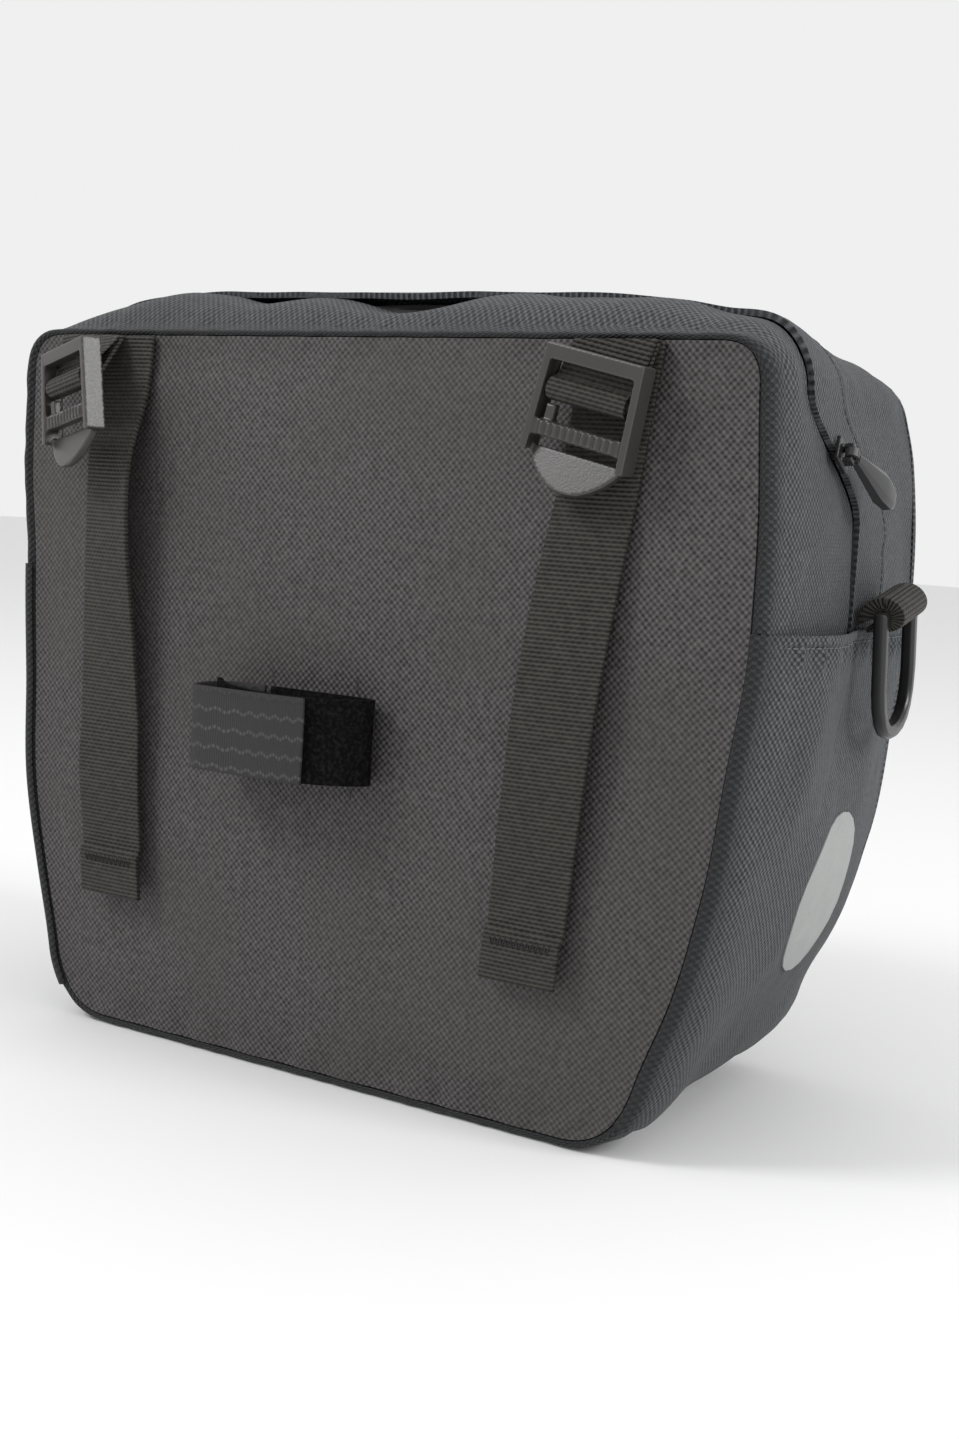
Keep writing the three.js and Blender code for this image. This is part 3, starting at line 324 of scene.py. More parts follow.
def webbing_finish():
    finish = Finish("webbing")
    along, across = finish.cloth_axes()
    ribs = abs(along.wave(2 * rib))
    knots = (along + rib / 2).wave(2 * rib) * across.wave(0.0021) * 0.5 + 0.5
    height = (ribs * 0.7 + knots * 0.3).kept()
    fibres = finish.grain(1200, 1.0)
    dark = finish.blend(finish.grain(30).ramp(0.3, 0.7), (0.004, 0.0038, 0.0034), (0.008, 0.0075, 0.0062))
    worn = finish.grain(420, 2.0).ramp(0.3, 0.75)
    # Painted highlight: the raised ribs are painted lighter than the grooves, along with the fibres and worn
    # patches
    lit = (height ** 1.6 * 0.75 + fibres * 0.15 + worn * 0.25 - 0.08).kept()
    finish.feed("Base Color", finish.blend(lit, dark, (0.062, 0.0565, 0.049)))
    finish.feed("Roughness", 0.6 + fibres * 0.15)
    finish.relief(height * 0.9 + fibres * 0.1, 0.0008, 1.0)
    finish.shader.inputs["Specular IOR Level"].default_value = 0.3
    return finish.material


def hook_finish():
    finish = Finish("hook_tape")
    along, across = finish.cloth_axes()
    lines = abs(along.wave(0.0012))
    bristles = finish.grain(1100, 2.0)
    zigzag = across + along.wave(0.005) * 0.0005
    rows = (zigzag - 0.0002).wave(0.0056).ramp(0.72, 0.98) * abs((along + 0.0004).wave(0.0024)).ramp(0.2, 0.8)
    selvedge = across.above(0.0228)
    matted = (lines * 0.5 + bristles * 0.5 - 0.1).kept()
    grey = finish.blend(matted, (0.005, 0.005, 0.005), (0.042, 0.0415, 0.042))
    grey = finish.blend(rows * 0.42, grey, (0.11, 0.109, 0.109))
    finish.feed("Base Color", finish.blend(selvedge * 0.8, grey, (0.02, 0.0195, 0.02)))
    finish.feed("Roughness", 0.55 + bristles * 0.2)
    finish.relief((lines * 0.4 + bristles * 0.3 + rows * 0.6).kept(), 0.0003, 0.8)
    finish.shader.inputs["Specular IOR Level"].default_value = 0.35
    return finish.material


def pile_finish():
    finish = Finish("fuzzy_tape")
    curls = finish.grain(900, 4.0)
    lumps = finish.grain(320, 3.0)
    black = finish.blend(curls.ramp(0.4, 0.75), (0.0015, 0.0015, 0.0015), (0.011, 0.0105, 0.011))
    finish.feed("Base Color", black)
    finish.feed("Roughness", 0.9)
    finish.shader.inputs["Specular IOR Level"].default_value = 0.1
    finish.relief((curls * 0.6 + lumps * 0.7).kept(), 0.0009, 1.0)
    return finish.material


def shade(colour, factor, more=0.0):
    """Colour made lighter or darker"""
    return tuple(c * factor + more for c in colour)


def thread_finish(name, colour):
    finish = Finish(name)
    twist = finish.grain(2500, 1.0)
    finish.feed("Base Color", finish.blend(twist, shade(colour, 0.6), shade(colour, 1.5)))
    finish.feed("Roughness", 0.7)
    finish.relief(twist, 0.0001, 0.6)
    return finish.material


webbing = webbing_finish()
hook_grey = hook_finish()
black_pile = pile_finish()
dark_thread = thread_finish("dark_thread", (0.006, 0.006, 0.0064))
grey_thread = thread_finish("grey_thread", (0.04, 0.042, 0.045))
pale_thread = thread_finish("pale_thread", (0.1, 0.105, 0.11))

# %% [markdown]
# ## Moulded plastic, lacquer and film
# The buckles are satin plastic with a faint grain. Every plastic here has a painted highlight along its
# edges. The rings are smoother and blacker. The reflector is a soft grey film that scatters light evenly.

# %% Hard finishes


def plastic_finish(name, colour, rough, grain_depth):
    finish = Finish(name)
    speckle = finish.grain(1600, 2.0)
    cloudy = finish.grain(90, 2.0)
    # Painted highlight: the edges, found by pointiness, are blended toward a colour twice as light
    edge = finish.node("ShaderNodeNewGeometry", {}, {}, "Pointiness").ramp(0.505, 0.56)
    body = finish.blend(cloudy, shade(colour, 0.85), shade(colour, 1.15))
    finish.feed("Base Color", finish.blend(edge * 0.4, body, shade(colour, 2.0, 0.01)))
    finish.feed("Roughness", (rough - 0.06 + speckle * 0.14).kept())
    finish.relief(speckle, grain_depth, 0.6)
    return finish.material


def film_finish():
    finish = Finish("reflector_film")
    beads = finish.node("ShaderNodeTexVoronoi", {}, {"Vector": finish.place(), "Scale": 2600})
    dust = finish.grain(140, 3.0)
    pale = finish.blend(beads.kept(), (0.24, 0.247, 0.244), (0.32, 0.328, 0.32))
    finish.feed("Base Color", finish.blend(dust.ramp(0.55, 0.8) * 0.3, pale, (0.24, 0.245, 0.245)))
    finish.feed("Roughness", 0.42 + dust * 0.15)
    finish.relief(beads, 0.00004, 0.5)
    return finish.material


buckle_plastic = plastic_finish("buckle_plastic", (0.033, 0.0295, 0.0285), 0.33, 0.00006)
ring_plastic = plastic_finish("ring_plastic", (0.007, 0.007, 0.0072), 0.3, 0.00003)
pull_plastic = plastic_finish("pull_plastic", (0.022, 0.022, 0.023), 0.34, 0.00005)
slider_lacquer = plastic_finish("slider_lacquer", (0.012, 0.012, 0.013), 0.28, 0.00002)
coil_plastic = plastic_finish("coil_plastic", (0.002, 0.002, 0.0022), 0.5, 0.00002)
film = film_finish()
print("finishes", len(bpy.data.materials))

# %% [markdown]
# ## The bag's outline
# The rear panel is wider at the top than at the bottom, and its sides swell a little. Its edge is
# one closed line. Everything that is sewn round the bag is placed by how far along this line it
# lies, the girth, and how deep it lies from the rear seam to the front.

# %% Outline of the rear seam


def rows(names, *lines):
    return [dict(zip(names.split(), line)) for line in lines]


def read(table, key, column, at):
    """Smooth value of a table's column at a place along its key"""
    last = len(table) - 1
    if at <= table[0][key]:
        return table[0][column]
    if at >= table[last][key]:
        return table[last][column]
    i = next(k for k, row in enumerate(table) if row[key] > at) - 1

    def slope(a, b):
        return (table[b][column] - table[a][column]) / (table[b][key] - table[a][key])

    step = table[i + 1][key] - table[i][key]
    t = (at - table[i][key]) / step
    before = slope(max(i - 1, 0), i + 1) * step
    after = slope(i, min(i + 2, last)) * step
    rise = table[i + 1][column] - table[i][column]
    bend = 3 * rise - 2 * before - after + t * (before + after - 2 * rise)
    return table[i][column] + t * (before + t * bend)


def between(a, b, t):
    return a + (b - a) * t


def eased(value, low, high):
    t = min(max((value - low) / (high - low), 0), 1)
    return t * t * (3 - 2 * t)


def bell(distance, width):
    return math.exp(-((distance / width) ** 2))


side_edge = rows(
    "height right left",
    (0.08, 1.044, 1.038),
    (0.2, 1.079, 1.049),
    (0.33, 1.058, 1.031),
    (0.5, 1.007, 0.9636),
    (0.66, 1, 0.948),
    (0.8, 1.003, 0.9787),
    (0.94, 0.9959, 0.9928),
)
bottom_half_width = 104.5
top_half_width = 133.0
widest_height_share = 0.66
bottom_corner = 16.0
top_corner = 12.0


def tapered_half_width(height):
    """Even taper of the half width: bottom, widest place, top"""
    below = between(bottom_half_width, panel_half_width, eased(height, 0, widest_height_share))
    return between(below, top_half_width, eased(height, widest_height_share, 1))


def half_line(side):
    """Points of half the outline, from the middle of the bottom to the middle of the top"""
    edge = [
        (read(side_edge, "height", side, h) * tapered_half_width(h), h * panel_height)
        for h in [0.08 + 0.86 * k / 60 for k in range(61)]
    ]

    def corner(start, middle, end):
        out = []
        for k in range(1, 12):
            t = k / 12
            out.append(tuple(
                (1 - t) ** 2 * a + 2 * t * (1 - t) * b + t * t * c for a, b, c in zip(start, middle, end)
            ))
        return out

    low_end = (bottom_half_width - bottom_corner, 0)
    high_end = (top_half_width - top_corner, panel_height)
    flat_low = [(low_end[0] * k / 40, 0) for k in range(41)]
    flat_high = [(high_end[0] * (1 - k / 50), panel_height) for k in range(51)]
    return (
        flat_low
        + corner(low_end, (bottom_half_width, 0), edge[0])
        + edge
        + corner(edge[-1], (top_half_width, panel_height), high_end)
        + flat_high
    )


right_line = half_line("right")
left_line = [(-x, z) for x, z in reversed(half_line("left")[1:-1])]
seam_line = [Vector(point) for point in right_line + left_line]
girths = [0.0]
for here, after in zip(seam_line, seam_line[1:] + seam_line[:1]):
    girths.append(girths[-1] + (after - here).length)
full_girth = girths[-1]
top_girth = girths[len(right_line) - 1]


def seam_point(girth):
    """Point (x, z) of the rear seam at a girth"""
    girth %= full_girth
    low, high = 0, len(girths) - 1
    while high - low > 1:
        middle = (low + high) // 2
        if girths[middle] <= girth:
            low = middle
        else:
            high = middle
    t = (girth - girths[low]) / (girths[high] - girths[low])
    return seam_line[low].lerp(seam_line[high % len(seam_line)], t)


def seam_out(girth):
    """Direction away from the bag's middle, square to the seam"""
    along = (seam_point(girth + 4) - seam_point(girth - 4)).normalized()
    return Vector((along.y, -along.x))


def girth_at(height, side):
    """Girth of a height on the right (+1) or left (-1) side"""
    low, high = (girths[40], top_girth - 60) if side > 0 else (top_girth + 60, full_girth - girths[40])
    for _ in range(40):
        middle = (low + high) / 2
        if (seam_point(middle).y > height) == (side > 0):
            high = middle
        else:
            low = middle
    return (low + high) / 2


print("girth in mm", round(full_girth, 1), "top at", round(top_girth, 1))

# %% [markdown]
# ## The gusset
# The gusset is the band between the two panels. Beside the rear seam its cloth rolls over as a
# full, rounded edge. The top rises as a crown, the sides lean in toward the front, and the corners
# sink. These are the same tables as in the part's own solids, read more finely here.

# %% Shape of the gusset
bag_depth = 134.0
gap = 0.3
roll_size = 4.0
side_taper = 12.0
crown_rise = 12.5
zip_depth_top = 24.0
zip_depth_side = 66.0
zip_bend_start = 10.0
zip_bend_end = 46.0
front_edge = rows(
    "height depth",
    (-0.05, 0.885),
    (0.06, 0.915),
    (0.16, 0.957),
    (0.34, 1),
    (0.56, 1),
    (0.88, 0.97),
    (1, 0.86),
)
profile = rows(
    "depth top side drop rise sink",
    (0.03, 0, 0, 0.4, 0, 0),
    (0.09, 0.6, 0.02, 0.9, 0, 0),
    (0.17, 0.9, -0.04, 1, 0, 0.2),
    (0.28, 1, -0.15, 1, 0, 0.7),
    (0.45, 0.8, -0.38, 1, 0.08, 1),
    (0.62, 0.5, -0.62, 1, 0.25, 0.9),
    (0.82, 0.26, -0.95, 1, 0.55, 0.7),
    (1, 0.02, -1.3, 1, 1, 1),
)
crown = rows(
    "across height",
    (-0.98, 0.05),
    (-0.91, 0.5),
    (-0.82, 0.8),
    (-0.62, 1.02),
    (-0.4, 1.02),
    (0, 1),
    (0.45, 0.98),
    (0.72, 0.78),
    (0.83, 0.6),
    (0.91, 0.52),
    (0.98, 0.3),
)
roll_foot = -3
first_share = 0.045
edge_roll = rows("step out back", (-3, 0, 0.16), (-2, 0.5, -0.14), (-1, 0.88, 0.14), (0, 1, 0.7))
top_folds = rows(
    "across width lift",
    (-0.66, 0.1, 0.12),
    (-0.38, 0.09, -0.12),
    (0.03, 0.14, -0.36),
    (0.34, 0.12, 0.12),
    (0.66, 0.1, 0.1),
)


def front_depth(z):
    return bag_depth * read(front_edge, "height", "depth", z / panel_height)


def zip_share(girth, beyond=0.0):
    """Depth of the zip as a share of the gusset's depth, with an offset in millimetres"""
    z = seam_point(girth).y
    bend = eased(panel_height - z, zip_bend_start, zip_bend_end)
    return (between(zip_depth_top, zip_depth_side, bend) + beyond) / front_depth(z)


def gusset(girth, share):
    """Point of the gusset's outer face. Shares at or below zero count along the rolled edge."""
    seam = seam_point(girth)
    out = seam_out(girth)
    roll = roll_size * between(0.45, 1, out.x ** 2)
    if share <= 0:
        step = max(share, roll_foot)
        away = gap + roll * read(edge_roll, "step", "out", step)
        y = roll * read(edge_roll, "step", "back", step)
        spread = 1.0
    else:
        up = max(out.y, 0) ** 2
        down = max(-out.y, 0) ** 2
        across = seam.x / top_half_width
        folds = sum(fold["lift"] * bell(across - fold["across"], fold["width"]) for fold in top_folds)
        zip_line = zip_depth_top / front_depth(panel_height)
        reach = 0 if share > zip_line else bell(share - zip_line, 0.12)
        top = crown_rise * read(crown, "across", "height", across) * read(profile, "depth", "top", share)
        top += crown_rise * folds * reach
        low = 0.6 * read(profile, "depth", "drop", share) - 8 * read(profile, "depth", "rise", share)
        sink = (6 if out.y < 0 else 1) * read(profile, "depth", "sink", share) * 4 * (out.x * out.y) ** 2
        away = gap + roll + up * top + down * low - sink
        y = share * front_depth(seam.y)
        spread = 1 + side_taper * read(profile, "depth", "side", share) / panel_half_width
    return Vector((seam.x * spread + out.x * away, y, seam.y + out.y * away))


def gusset_normal(girth, share):
    """Outward direction of the gusset's face"""
    if share <= 0:
        low, high = max(share - 0.5, roll_foot), min(share + 0.5, 0)
    else:
        low, high = max(share - 0.02, 0.03), min(share + 0.02, 1)
    along = gusset(girth, high) - gusset(girth, low)
    round_about = gusset(girth + 2, share) - gusset(girth - 2, share)
    return along.cross(round_about).normalized()


def lifted(girth, share, lift):
    return gusset(girth, share) + gusset_normal(girth, share) * lift


print("gusset at the top middle", [round(value, 1) for value in gusset(top_girth, 0.2)])

# %% [markdown]
# ## Laying a sheet of cloth
# Every cloth piece starts as a grid. Its points are laid by a rule that turns across and along,
# each from 0 to 1, into a place in the bag, and its UV map is filled in metres, so the weave keeps
# its scale. Solidify then gives the cloth its thickness on the inside.

# %% Sheets and solid copies


def only(piece):
    """Make one object the selected and active one"""
    bpy.ops.object.select_all(action="DESELECT")
    piece.select_set(True)
    bpy.context.view_layer.objects.active = piece


def apply_modifiers(piece):
    only(piece)
    for modifier in list(piece.modifiers):
        bpy.ops.object.modifier_apply(modifier=modifier.name)


cut_sizes = {}


def cut_size(piece, columns, lines):
    """Longest run across and along the laid grid, and its area: the size the cloth is cut to"""
    points = [vertex.co for vertex in piece.data.vertices]
    wide, high = columns + 1, lines + 1

    def longest(grid_lines):
        return max(sum((b - a).length for a, b in zip(line, line[1:])) for line in grid_lines)

    area = sum(face.area for face in piece.data.polygons)
    return (
        longest([points[j * wide:(j + 1) * wide] for j in range(high)]),
        longest([points[i::wide] for i in range(wide)]),
        area,
    )


def declare_sheet(piece, held, *rests_on):
    """Print the size that a piece of cloth was cut to"""
    across, along, area = cut_sizes[piece.name]
    print("cut", piece.name, round(across, 3), "by", round(along, 3))
    whole = min(area, across * along)


def lay_sheet(name, columns, lines, rule, flat, thick, inside, round_edge=0.0):
    """Grid laid by rule(across, along), with its UV map in metres and its thickness inward"""
    bpy.ops.object.select_all(action="DESELECT")
    bpy.ops.mesh.primitive_grid_add(x_subdivisions=columns, y_subdivisions=lines, size=2)
    piece = bpy.context.object
    piece.name = name
    mesh = piece.data
    mesh.name = name
    steps = [((vertex.co.x + 1) / 2, (vertex.co.y + 1) / 2) for vertex in mesh.vertices]
    for vertex, (s, t) in zip(mesh.vertices, steps):
        vertex.co = in_frame(*rule(s, t))
    uv = mesh.uv_layers.active.data
    for loop in mesh.loops:
        s, t = steps[loop.vertex_index]
        uv[loop.index].uv = (s * flat[0], t * flat[1])
    mesh.update()
    cut_sizes[name] = cut_size(piece, columns, lines)
    middle = in_frame(*inside)
    facing = sum((face.center - middle).normalized().dot(face.normal) for face in mesh.polygons)
    if facing < 0:
        mesh.flip_normals()
    solid = piece.modifiers.new("thickness", "SOLIDIFY")
    solid.thickness = thick / 1000
    solid.offset = -1
    solid.use_quality_normals = True
    if round_edge:
        bevel = piece.modifiers.new("edge", "BEVEL")
        bevel.width = round_edge / 1000
        bevel.segments = 2
        bevel.limit_method = "ANGLE"
        bevel.angle_limit = math.radians(50)
    apply_modifiers(piece)
    bpy.ops.object.shade_smooth_by_angle(angle=math.radians(50))
    return piece


def dress(piece, material, body, slot, *replaced):
    piece.data.materials.clear()
    piece.data.materials.append(material)
    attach(piece, body)
    if replaced:
        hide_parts(*replaced)
    return piece


def merged_copy(node, name, flat_angle=0):
    """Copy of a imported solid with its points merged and, at an angle, its flat facets joined"""
    source = nodes[node]
    piece = bpy.data.objects.new(name, source.data.copy())
    piece.matrix_world = source.matrix_world
    bpy.context.collection.objects.link(piece)
    only(piece)
    bpy.ops.object.transform_apply(location=True, rotation=True, scale=True)
    bpy.ops.object.mode_set(mode="EDIT")
    bpy.ops.mesh.select_all(action="SELECT")
    bpy.ops.mesh.remove_doubles(threshold=0.00002)
    if flat_angle:
        bpy.ops.mesh.dissolve_limited(angle_limit=math.radians(flat_angle))
    bpy.ops.object.mode_set(mode="OBJECT")
    return piece


def rounded_copy(node, name, bevel_width, segments=3, angle=35, arched=False):
    """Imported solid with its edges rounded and, if arched, its bends smoothed"""
    piece = merged_copy(node, name, flat_angle=4)
    bevel = piece.modifiers.new("edge", "BEVEL")
    bevel.width = bevel_width / 1000
    bevel.segments = segments
    bevel.limit_method = "ANGLE"
    bevel.angle_limit = math.radians(angle)
    bevel.harden_normals = False
    if arched:
        smooth = piece.modifiers.new("arch", "SUBSURF")
        smooth.levels = 2
        smooth.render_levels = 2
    apply_modifiers(piece)
    bpy.ops.object.shade_smooth_by_angle(angle=math.radians(40))
    return piece


def moulded_copy(node, name, voxel, passes):
    """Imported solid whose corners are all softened, as a moulding's are"""
    piece = merged_copy(node, name)
    cells = piece.modifiers.new("cells", "REMESH")
    cells.mode = "VOXEL"
    cells.voxel_size = voxel / 1000
    soften = piece.modifiers.new("soften", "SMOOTH")
    soften.factor = 0.5
    soften.iterations = passes
    apply_modifiers(piece)
    bpy.ops.object.shade_smooth()
    print(name, "faces", len(piece.data.polygons))
    return piece


def waver(x, y, z, scale):
    """Slow noise from about -1 to 1"""
    return noise.noise(Vector((x, y, z)) / scale)


bag_middle = (0, 65, 110)

# %% [markdown]
# ## Rear panel
# The rear panel lies flat in its seam and swells gently. The sewing draws it in beside the seam,
# and the stuffing and the hanging straps leave slow dents.

# %% Rear panel


def half_width_at(z, side):
    """Half width of the panel at a height, with its rounded corners"""
    line = right_line if side > 0 else [(-x, z) for x, z in left_line[::-1]]
    best = None
    for (x0, z0), (x1, z1) in zip(line, line[1:]):
        if z0 <= z <= z1 and z1 > z0:
            best = x0 + (x1 - x0) * (z - z0) / (z1 - z0)
            break
    if best is None:
        best = top_half_width - top_corner if z > panel_height / 2 else bottom_half_width - bottom_corner
    return best


def panel_y(x, z):
    across = x / panel_half_width
    up = z / panel_height
    edge = max(0, 1 - across ** 2) * max(0, 1 - (2 * up - 1) ** 4)
    swell = (
        0.5 * bell(across + 0.3, 0.3) * bell(up - 0.45, 0.4)
        - 0.35 * bell(across - 0.28, 0.12) * bell(up - 0.5, 0.5)
        + 0.3 * bell(across - 0.7, 0.14) * bell(up - 0.72, 0.2)
        - 0.4 * bell(across + 0.55, 0.1) * bell(up - 0.12, 0.16)
    )
    return -3 * edge * (1 + swell)


def rear_rule(s, t):
    z = panel_height * (0.5 - 0.5 * math.cos(math.pi * t))
    side = 1 if s >= 0.5 else -1
    half = half_width_at(z, side)
    x = (2 * s - 1) * half
    rim = min(half - abs(x), z, panel_height - z)
    y = panel_y(x, z)
    loose = eased(rim, 0, 16)
    y += loose * (0.7 * waver(x, 0, z, 42) + 0.35 * waver(x, 9, z, 17))
    y += 0.5 * bell(rim - 3, 5) * math.sin(x / 3.1 + 2 * waver(x, 3, z, 25)) * (1 if abs(x) < half - 8 else 0)
    y += 0.6 * bell(rim - 6, 7)
    return x, y, z


rear_panel = lay_sheet(
    "rear_cloth_panel", 110, 92, rear_rule, (2 * panel_half_width / 1000, panel_height / 1000), cloth_wall,
    bag_middle,
)
for loop in rear_panel.data.loops:
    point = rear_panel.data.vertices[loop.vertex_index].co
    rear_panel.data.uv_layers.active.data[loop.index].uv = (point.x, point.z)
dress(rear_panel, rear_cloth, "bag", "rear_cloth", "rear_panel")
declare_sheet(rear_panel, "stretched", "lower_gusset", "rear_gusset")
print("rear panel faces", len(rear_panel.data.polygons))

# %% [markdown]
# ## Bands of the gusset
# The gusset is cut into bands: one from side to side under the bag, one behind the zip, the cover
# flap and one in front of it. A band runs between two girths and two depths. Puckers follow the
# seams where the thread draws the cloth together.

# %% Gusset bands
seam_height = 0.58 * panel_height
hem_height = 0.66 * panel_height
right_seam = girth_at(seam_height, 1)
left_seam = girth_at(seam_height, -1)


def pucker(girth, from_seam, reach, size):
    """Small folds square to a seam, dying away from it"""
    ripple = math.sin(girth / 2.3 + 3 * waver(girth, 0, 0, 21)) + 0.6 * math.sin(girth / 1.37)
    return size * bell(from_seam, reach) * ripple


def band_rule(start, end, first, last, lift, roll_steps=0.0):
    """Rule for a band between two girths and two depth shares"""

    def rule(s, t):
        girth = between(start, end, s)
        low = first(girth)
        high = last(girth)
        if roll_steps and t < roll_steps:
            share = roll_foot * (1 - t / roll_steps)
        elif roll_steps:
            share = between(first_share, high, (t - roll_steps) / (1 - roll_steps))
        else:
            share = between(low, high, t)
        return lifted(girth, share, lift(girth, share, t))

    return rule


def wall_waver(girth, share, t):
    seam = seam_point(girth)
    depth = max(share, 0) * bag_depth
    soft = eased(depth, 2, 20)
    puckers = pucker(girth, depth - 5, 5, 0.28) if share > -2.5 else 0
    return soft * (0.9 * waver(seam.x, depth, seam.y, 38) + 0.35 * waver(seam.x, depth, seam.y, 14)) + puckers


def band(name, start, end, first, last, lift, steps, replaced, roll=0.0):
    length = abs(end - start)
    piece = lay_sheet(
        name, steps[0], steps[1], band_rule(start, end, first, last, lift, roll),
        (length / 1000, bag_depth / 1000), cloth_wall, bag_middle,
    )
    lay_depths(piece, roll)
    dress(piece, side_cloth, "bag", "side_cloth", replaced)
    declare_sheet(piece, "stretched", "front_panel", "rear_panel")


roll_length = 6.5


def lay_depths(piece, roll, length=bag_depth / 1000):
    """UV along the depth in metres, and round the roll, so that the weave stays even"""
    layer = piece.data.uv_layers.active.data
    start = rear_high[1] - cloth_wall / 1000
    for loop in piece.data.loops:
        point = piece.data.vertices[loop.vertex_index].co
        u, v = layer[loop.index].uv
        t = v / length
        on_roll = roll and t < roll
        depth = start + 0.002 - roll_length / 1000 * (1 - t / roll) if on_roll else point.y
        layer[loop.index].uv = (u, depth)


def rear_lift(girth, share, t):
    near_zip = eased(t, 0.55, 1)
    x = seam_point(girth).x
    edge_fold = 0.9 * near_zip * waver(x, 50, 0, 22)
    on_side = seam_out(girth).x ** 2
    full = on_side * (1.3 * math.sin(math.pi * t) ** 2 - 0.6 * near_zip)
    return wall_waver(girth, share, t) + edge_fold + full


def flap_lift(girth, share, t):
    z = seam_point(girth).y
    top = max(seam_out(girth).y, 0)
    above_hem = eased(z - hem_height, 0, zip_bend_end)
    free = 1.8 * (1 - t) * between(0.35 * above_hem, 1, top)
    return free + pucker(girth, 20 * (1 - t), 4, 0.25) + 0.5 * (1 - t) * waver(girth, 7, 0, 26) * above_hem


def front_lift(girth, share, t):
    return wall_waver(girth, share, t) * eased(t, 0, 0.1) + pucker(girth, 20 * t, 4, 0.25)


def past_zip(distance):
    """Rule for a depth at a distance in millimetres in front of the zip"""
    return lambda girth: zip_share(girth, distance)


def rear_seam(girth):
    return 0


def front_seam(girth):
    return 1


slit = 3.0
flap_edge = 0.4
flap_width = 30.0
rear_of_slit = past_zip(-slit / 2)
flap_start = past_zip(flap_edge)
flap_end = past_zip(flap_width)
front_of_flap = past_zip(flap_width + gap)
band(
    "lower_gusset_cloth", left_seam - full_girth, right_seam, rear_seam, front_seam, wall_waver, (300, 60),
    "lower_gusset", roll=0.2,
)
band(
    "rear_gusset_cloth", right_seam, left_seam, rear_seam, rear_of_slit, rear_lift, (300, 40),
    "rear_gusset", roll=0.3,
)
band(
    "cover_flap_cloth", right_seam, left_seam, flap_start, flap_end, flap_lift, (300, 14),
    "cover_flap",
)
band(
    "front_gusset_cloth", right_seam, left_seam, front_of_flap, front_seam, front_lift, (300, 40),
    "front_gusset",
)
print("gusset bands laid")

# %% [markdown]
# ## Front panel
# The front panel closes the bag. It is laid in rings from its rim to its middle, as squares round
# squares, so that there is no pole in the middle.

# %% Front panel


bottom_corner_girth = girths[46]
top_corner_height = panel_height - 7
corners = [
    full_girth - bottom_corner_girth,
    bottom_corner_girth + full_girth,
    girth_at(top_corner_height, 1) + full_girth,
    girth_at(top_corner_height, -1) + full_girth,
]
corners.append(corners[0] + full_girth)
tiny = 1e-6


def square_girth(s, t):
    """Girth whose direction matches a point of a square's edge"""
    if t <= -1 + tiny and abs(s) <= 1:
        side, part = 0, (s + 1) / 2
    elif s >= 1 - tiny:
        side, part = 1, (t + 1) / 2
    elif t >= 1 - tiny:
        side, part = 2, (1 - s) / 2
    else:
        side, part = 3, (1 - t) / 2
    return between(corners[side], corners[side + 1], part)


def front_rule(s, t):
    a, b = 2 * s - 1, 2 * t - 1
    ring = max(abs(a), abs(b))
    middle = Vector((0, bag_depth * 0.96, panel_height * 0.5))
    if ring < tiny:
        rim = middle
    else:
        rim = gusset(square_girth(a / ring, b / ring), 1)
    share = ring ** 0.9
    point = middle.lerp(rim, share)
    point.y = between(front_depth(point.z), rim.y, eased(ring, 0.8, 1))
    swell = 2 * (1 - a ** 4) * (1 - b ** 4) + gap + cloth_wall
    loose = eased(1 - share, 0, 0.15)
    swell += loose * (0.8 * waver(point.x, 0, point.z, 40) + 0.3 * waver(point.x, 5, point.z, 15))
    return point.x, point.y + swell, point.z


front_panel = lay_sheet(
    "front_cloth_panel", 90, 90, front_rule, (0.27, 0.22), cloth_wall, bag_middle,
)
for loop in front_panel.data.loops:
    point = front_panel.data.vertices[loop.vertex_index].co
    front_panel.data.uv_layers.active.data[loop.index].uv = (point.x, point.z)
dress(front_panel, side_cloth, "bag", "side_cloth", "front_panel")
declare_sheet(front_panel, "stretched", "lower_gusset", "front_gusset")

# %% [markdown]
# ## Zip tape and coil
# Under the slit lies the zip: a dark tape with a coil of small loops. One loop is modelled and
# copied along the zip line.

# %% Zip


def tape_rule(s, t):
    girth = between(right_seam, left_seam, s)
    share = between(zip_share(girth, -4), zip_share(girth, 6), t)
    return lifted(girth, share, -cloth_wall - 0.9)


zip_tape = lay_sheet(
    "zip_tape_cloth", 300, 6, tape_rule, ((left_seam - right_seam) / 1000, 0.01), 1.0, bag_middle,
)
dress(zip_tape, dark_thread, "bag", "zip", "zip_tape")
declare_sheet(zip_tape, "stretched", "rear_gusset", "cover_flap")


def scatter(name, seed, frames):
    """One mesh made of copies of a small seed object, one at each frame"""
    source = seed.data
    points = [vertex.co.copy() for vertex in source.vertices]
    faces = [tuple(face.vertices) for face in source.polygons]
    all_points = []
    all_faces = []
    for matrix in frames:
        base = len(all_points)
        all_points += [matrix @ point for point in points]
        all_faces += [tuple(base + k for k in face) for face in faces]
    mesh = bpy.data.meshes.new(name)
    mesh.from_pydata(all_points, [], all_faces)
    mesh.update()
    piece = bpy.data.objects.new(name, mesh)
    bpy.context.collection.objects.link(piece)
    bpy.data.objects.remove(seed)
    only(piece)
    bpy.ops.object.shade_smooth()
    return piece


def axes_at(place, along, out, scale=(1, 1, 1)):
    """Frame at a place: x along, z outward"""
    x = along.normalized()
    z = (out - x * out.dot(x)).normalized()
    y = z.cross(x)
    turned = Matrix((x, y, z)).transposed().to_4x4()
    return Matrix.Translation(place) @ turned @ Matrix.Diagonal((*scale, 1))


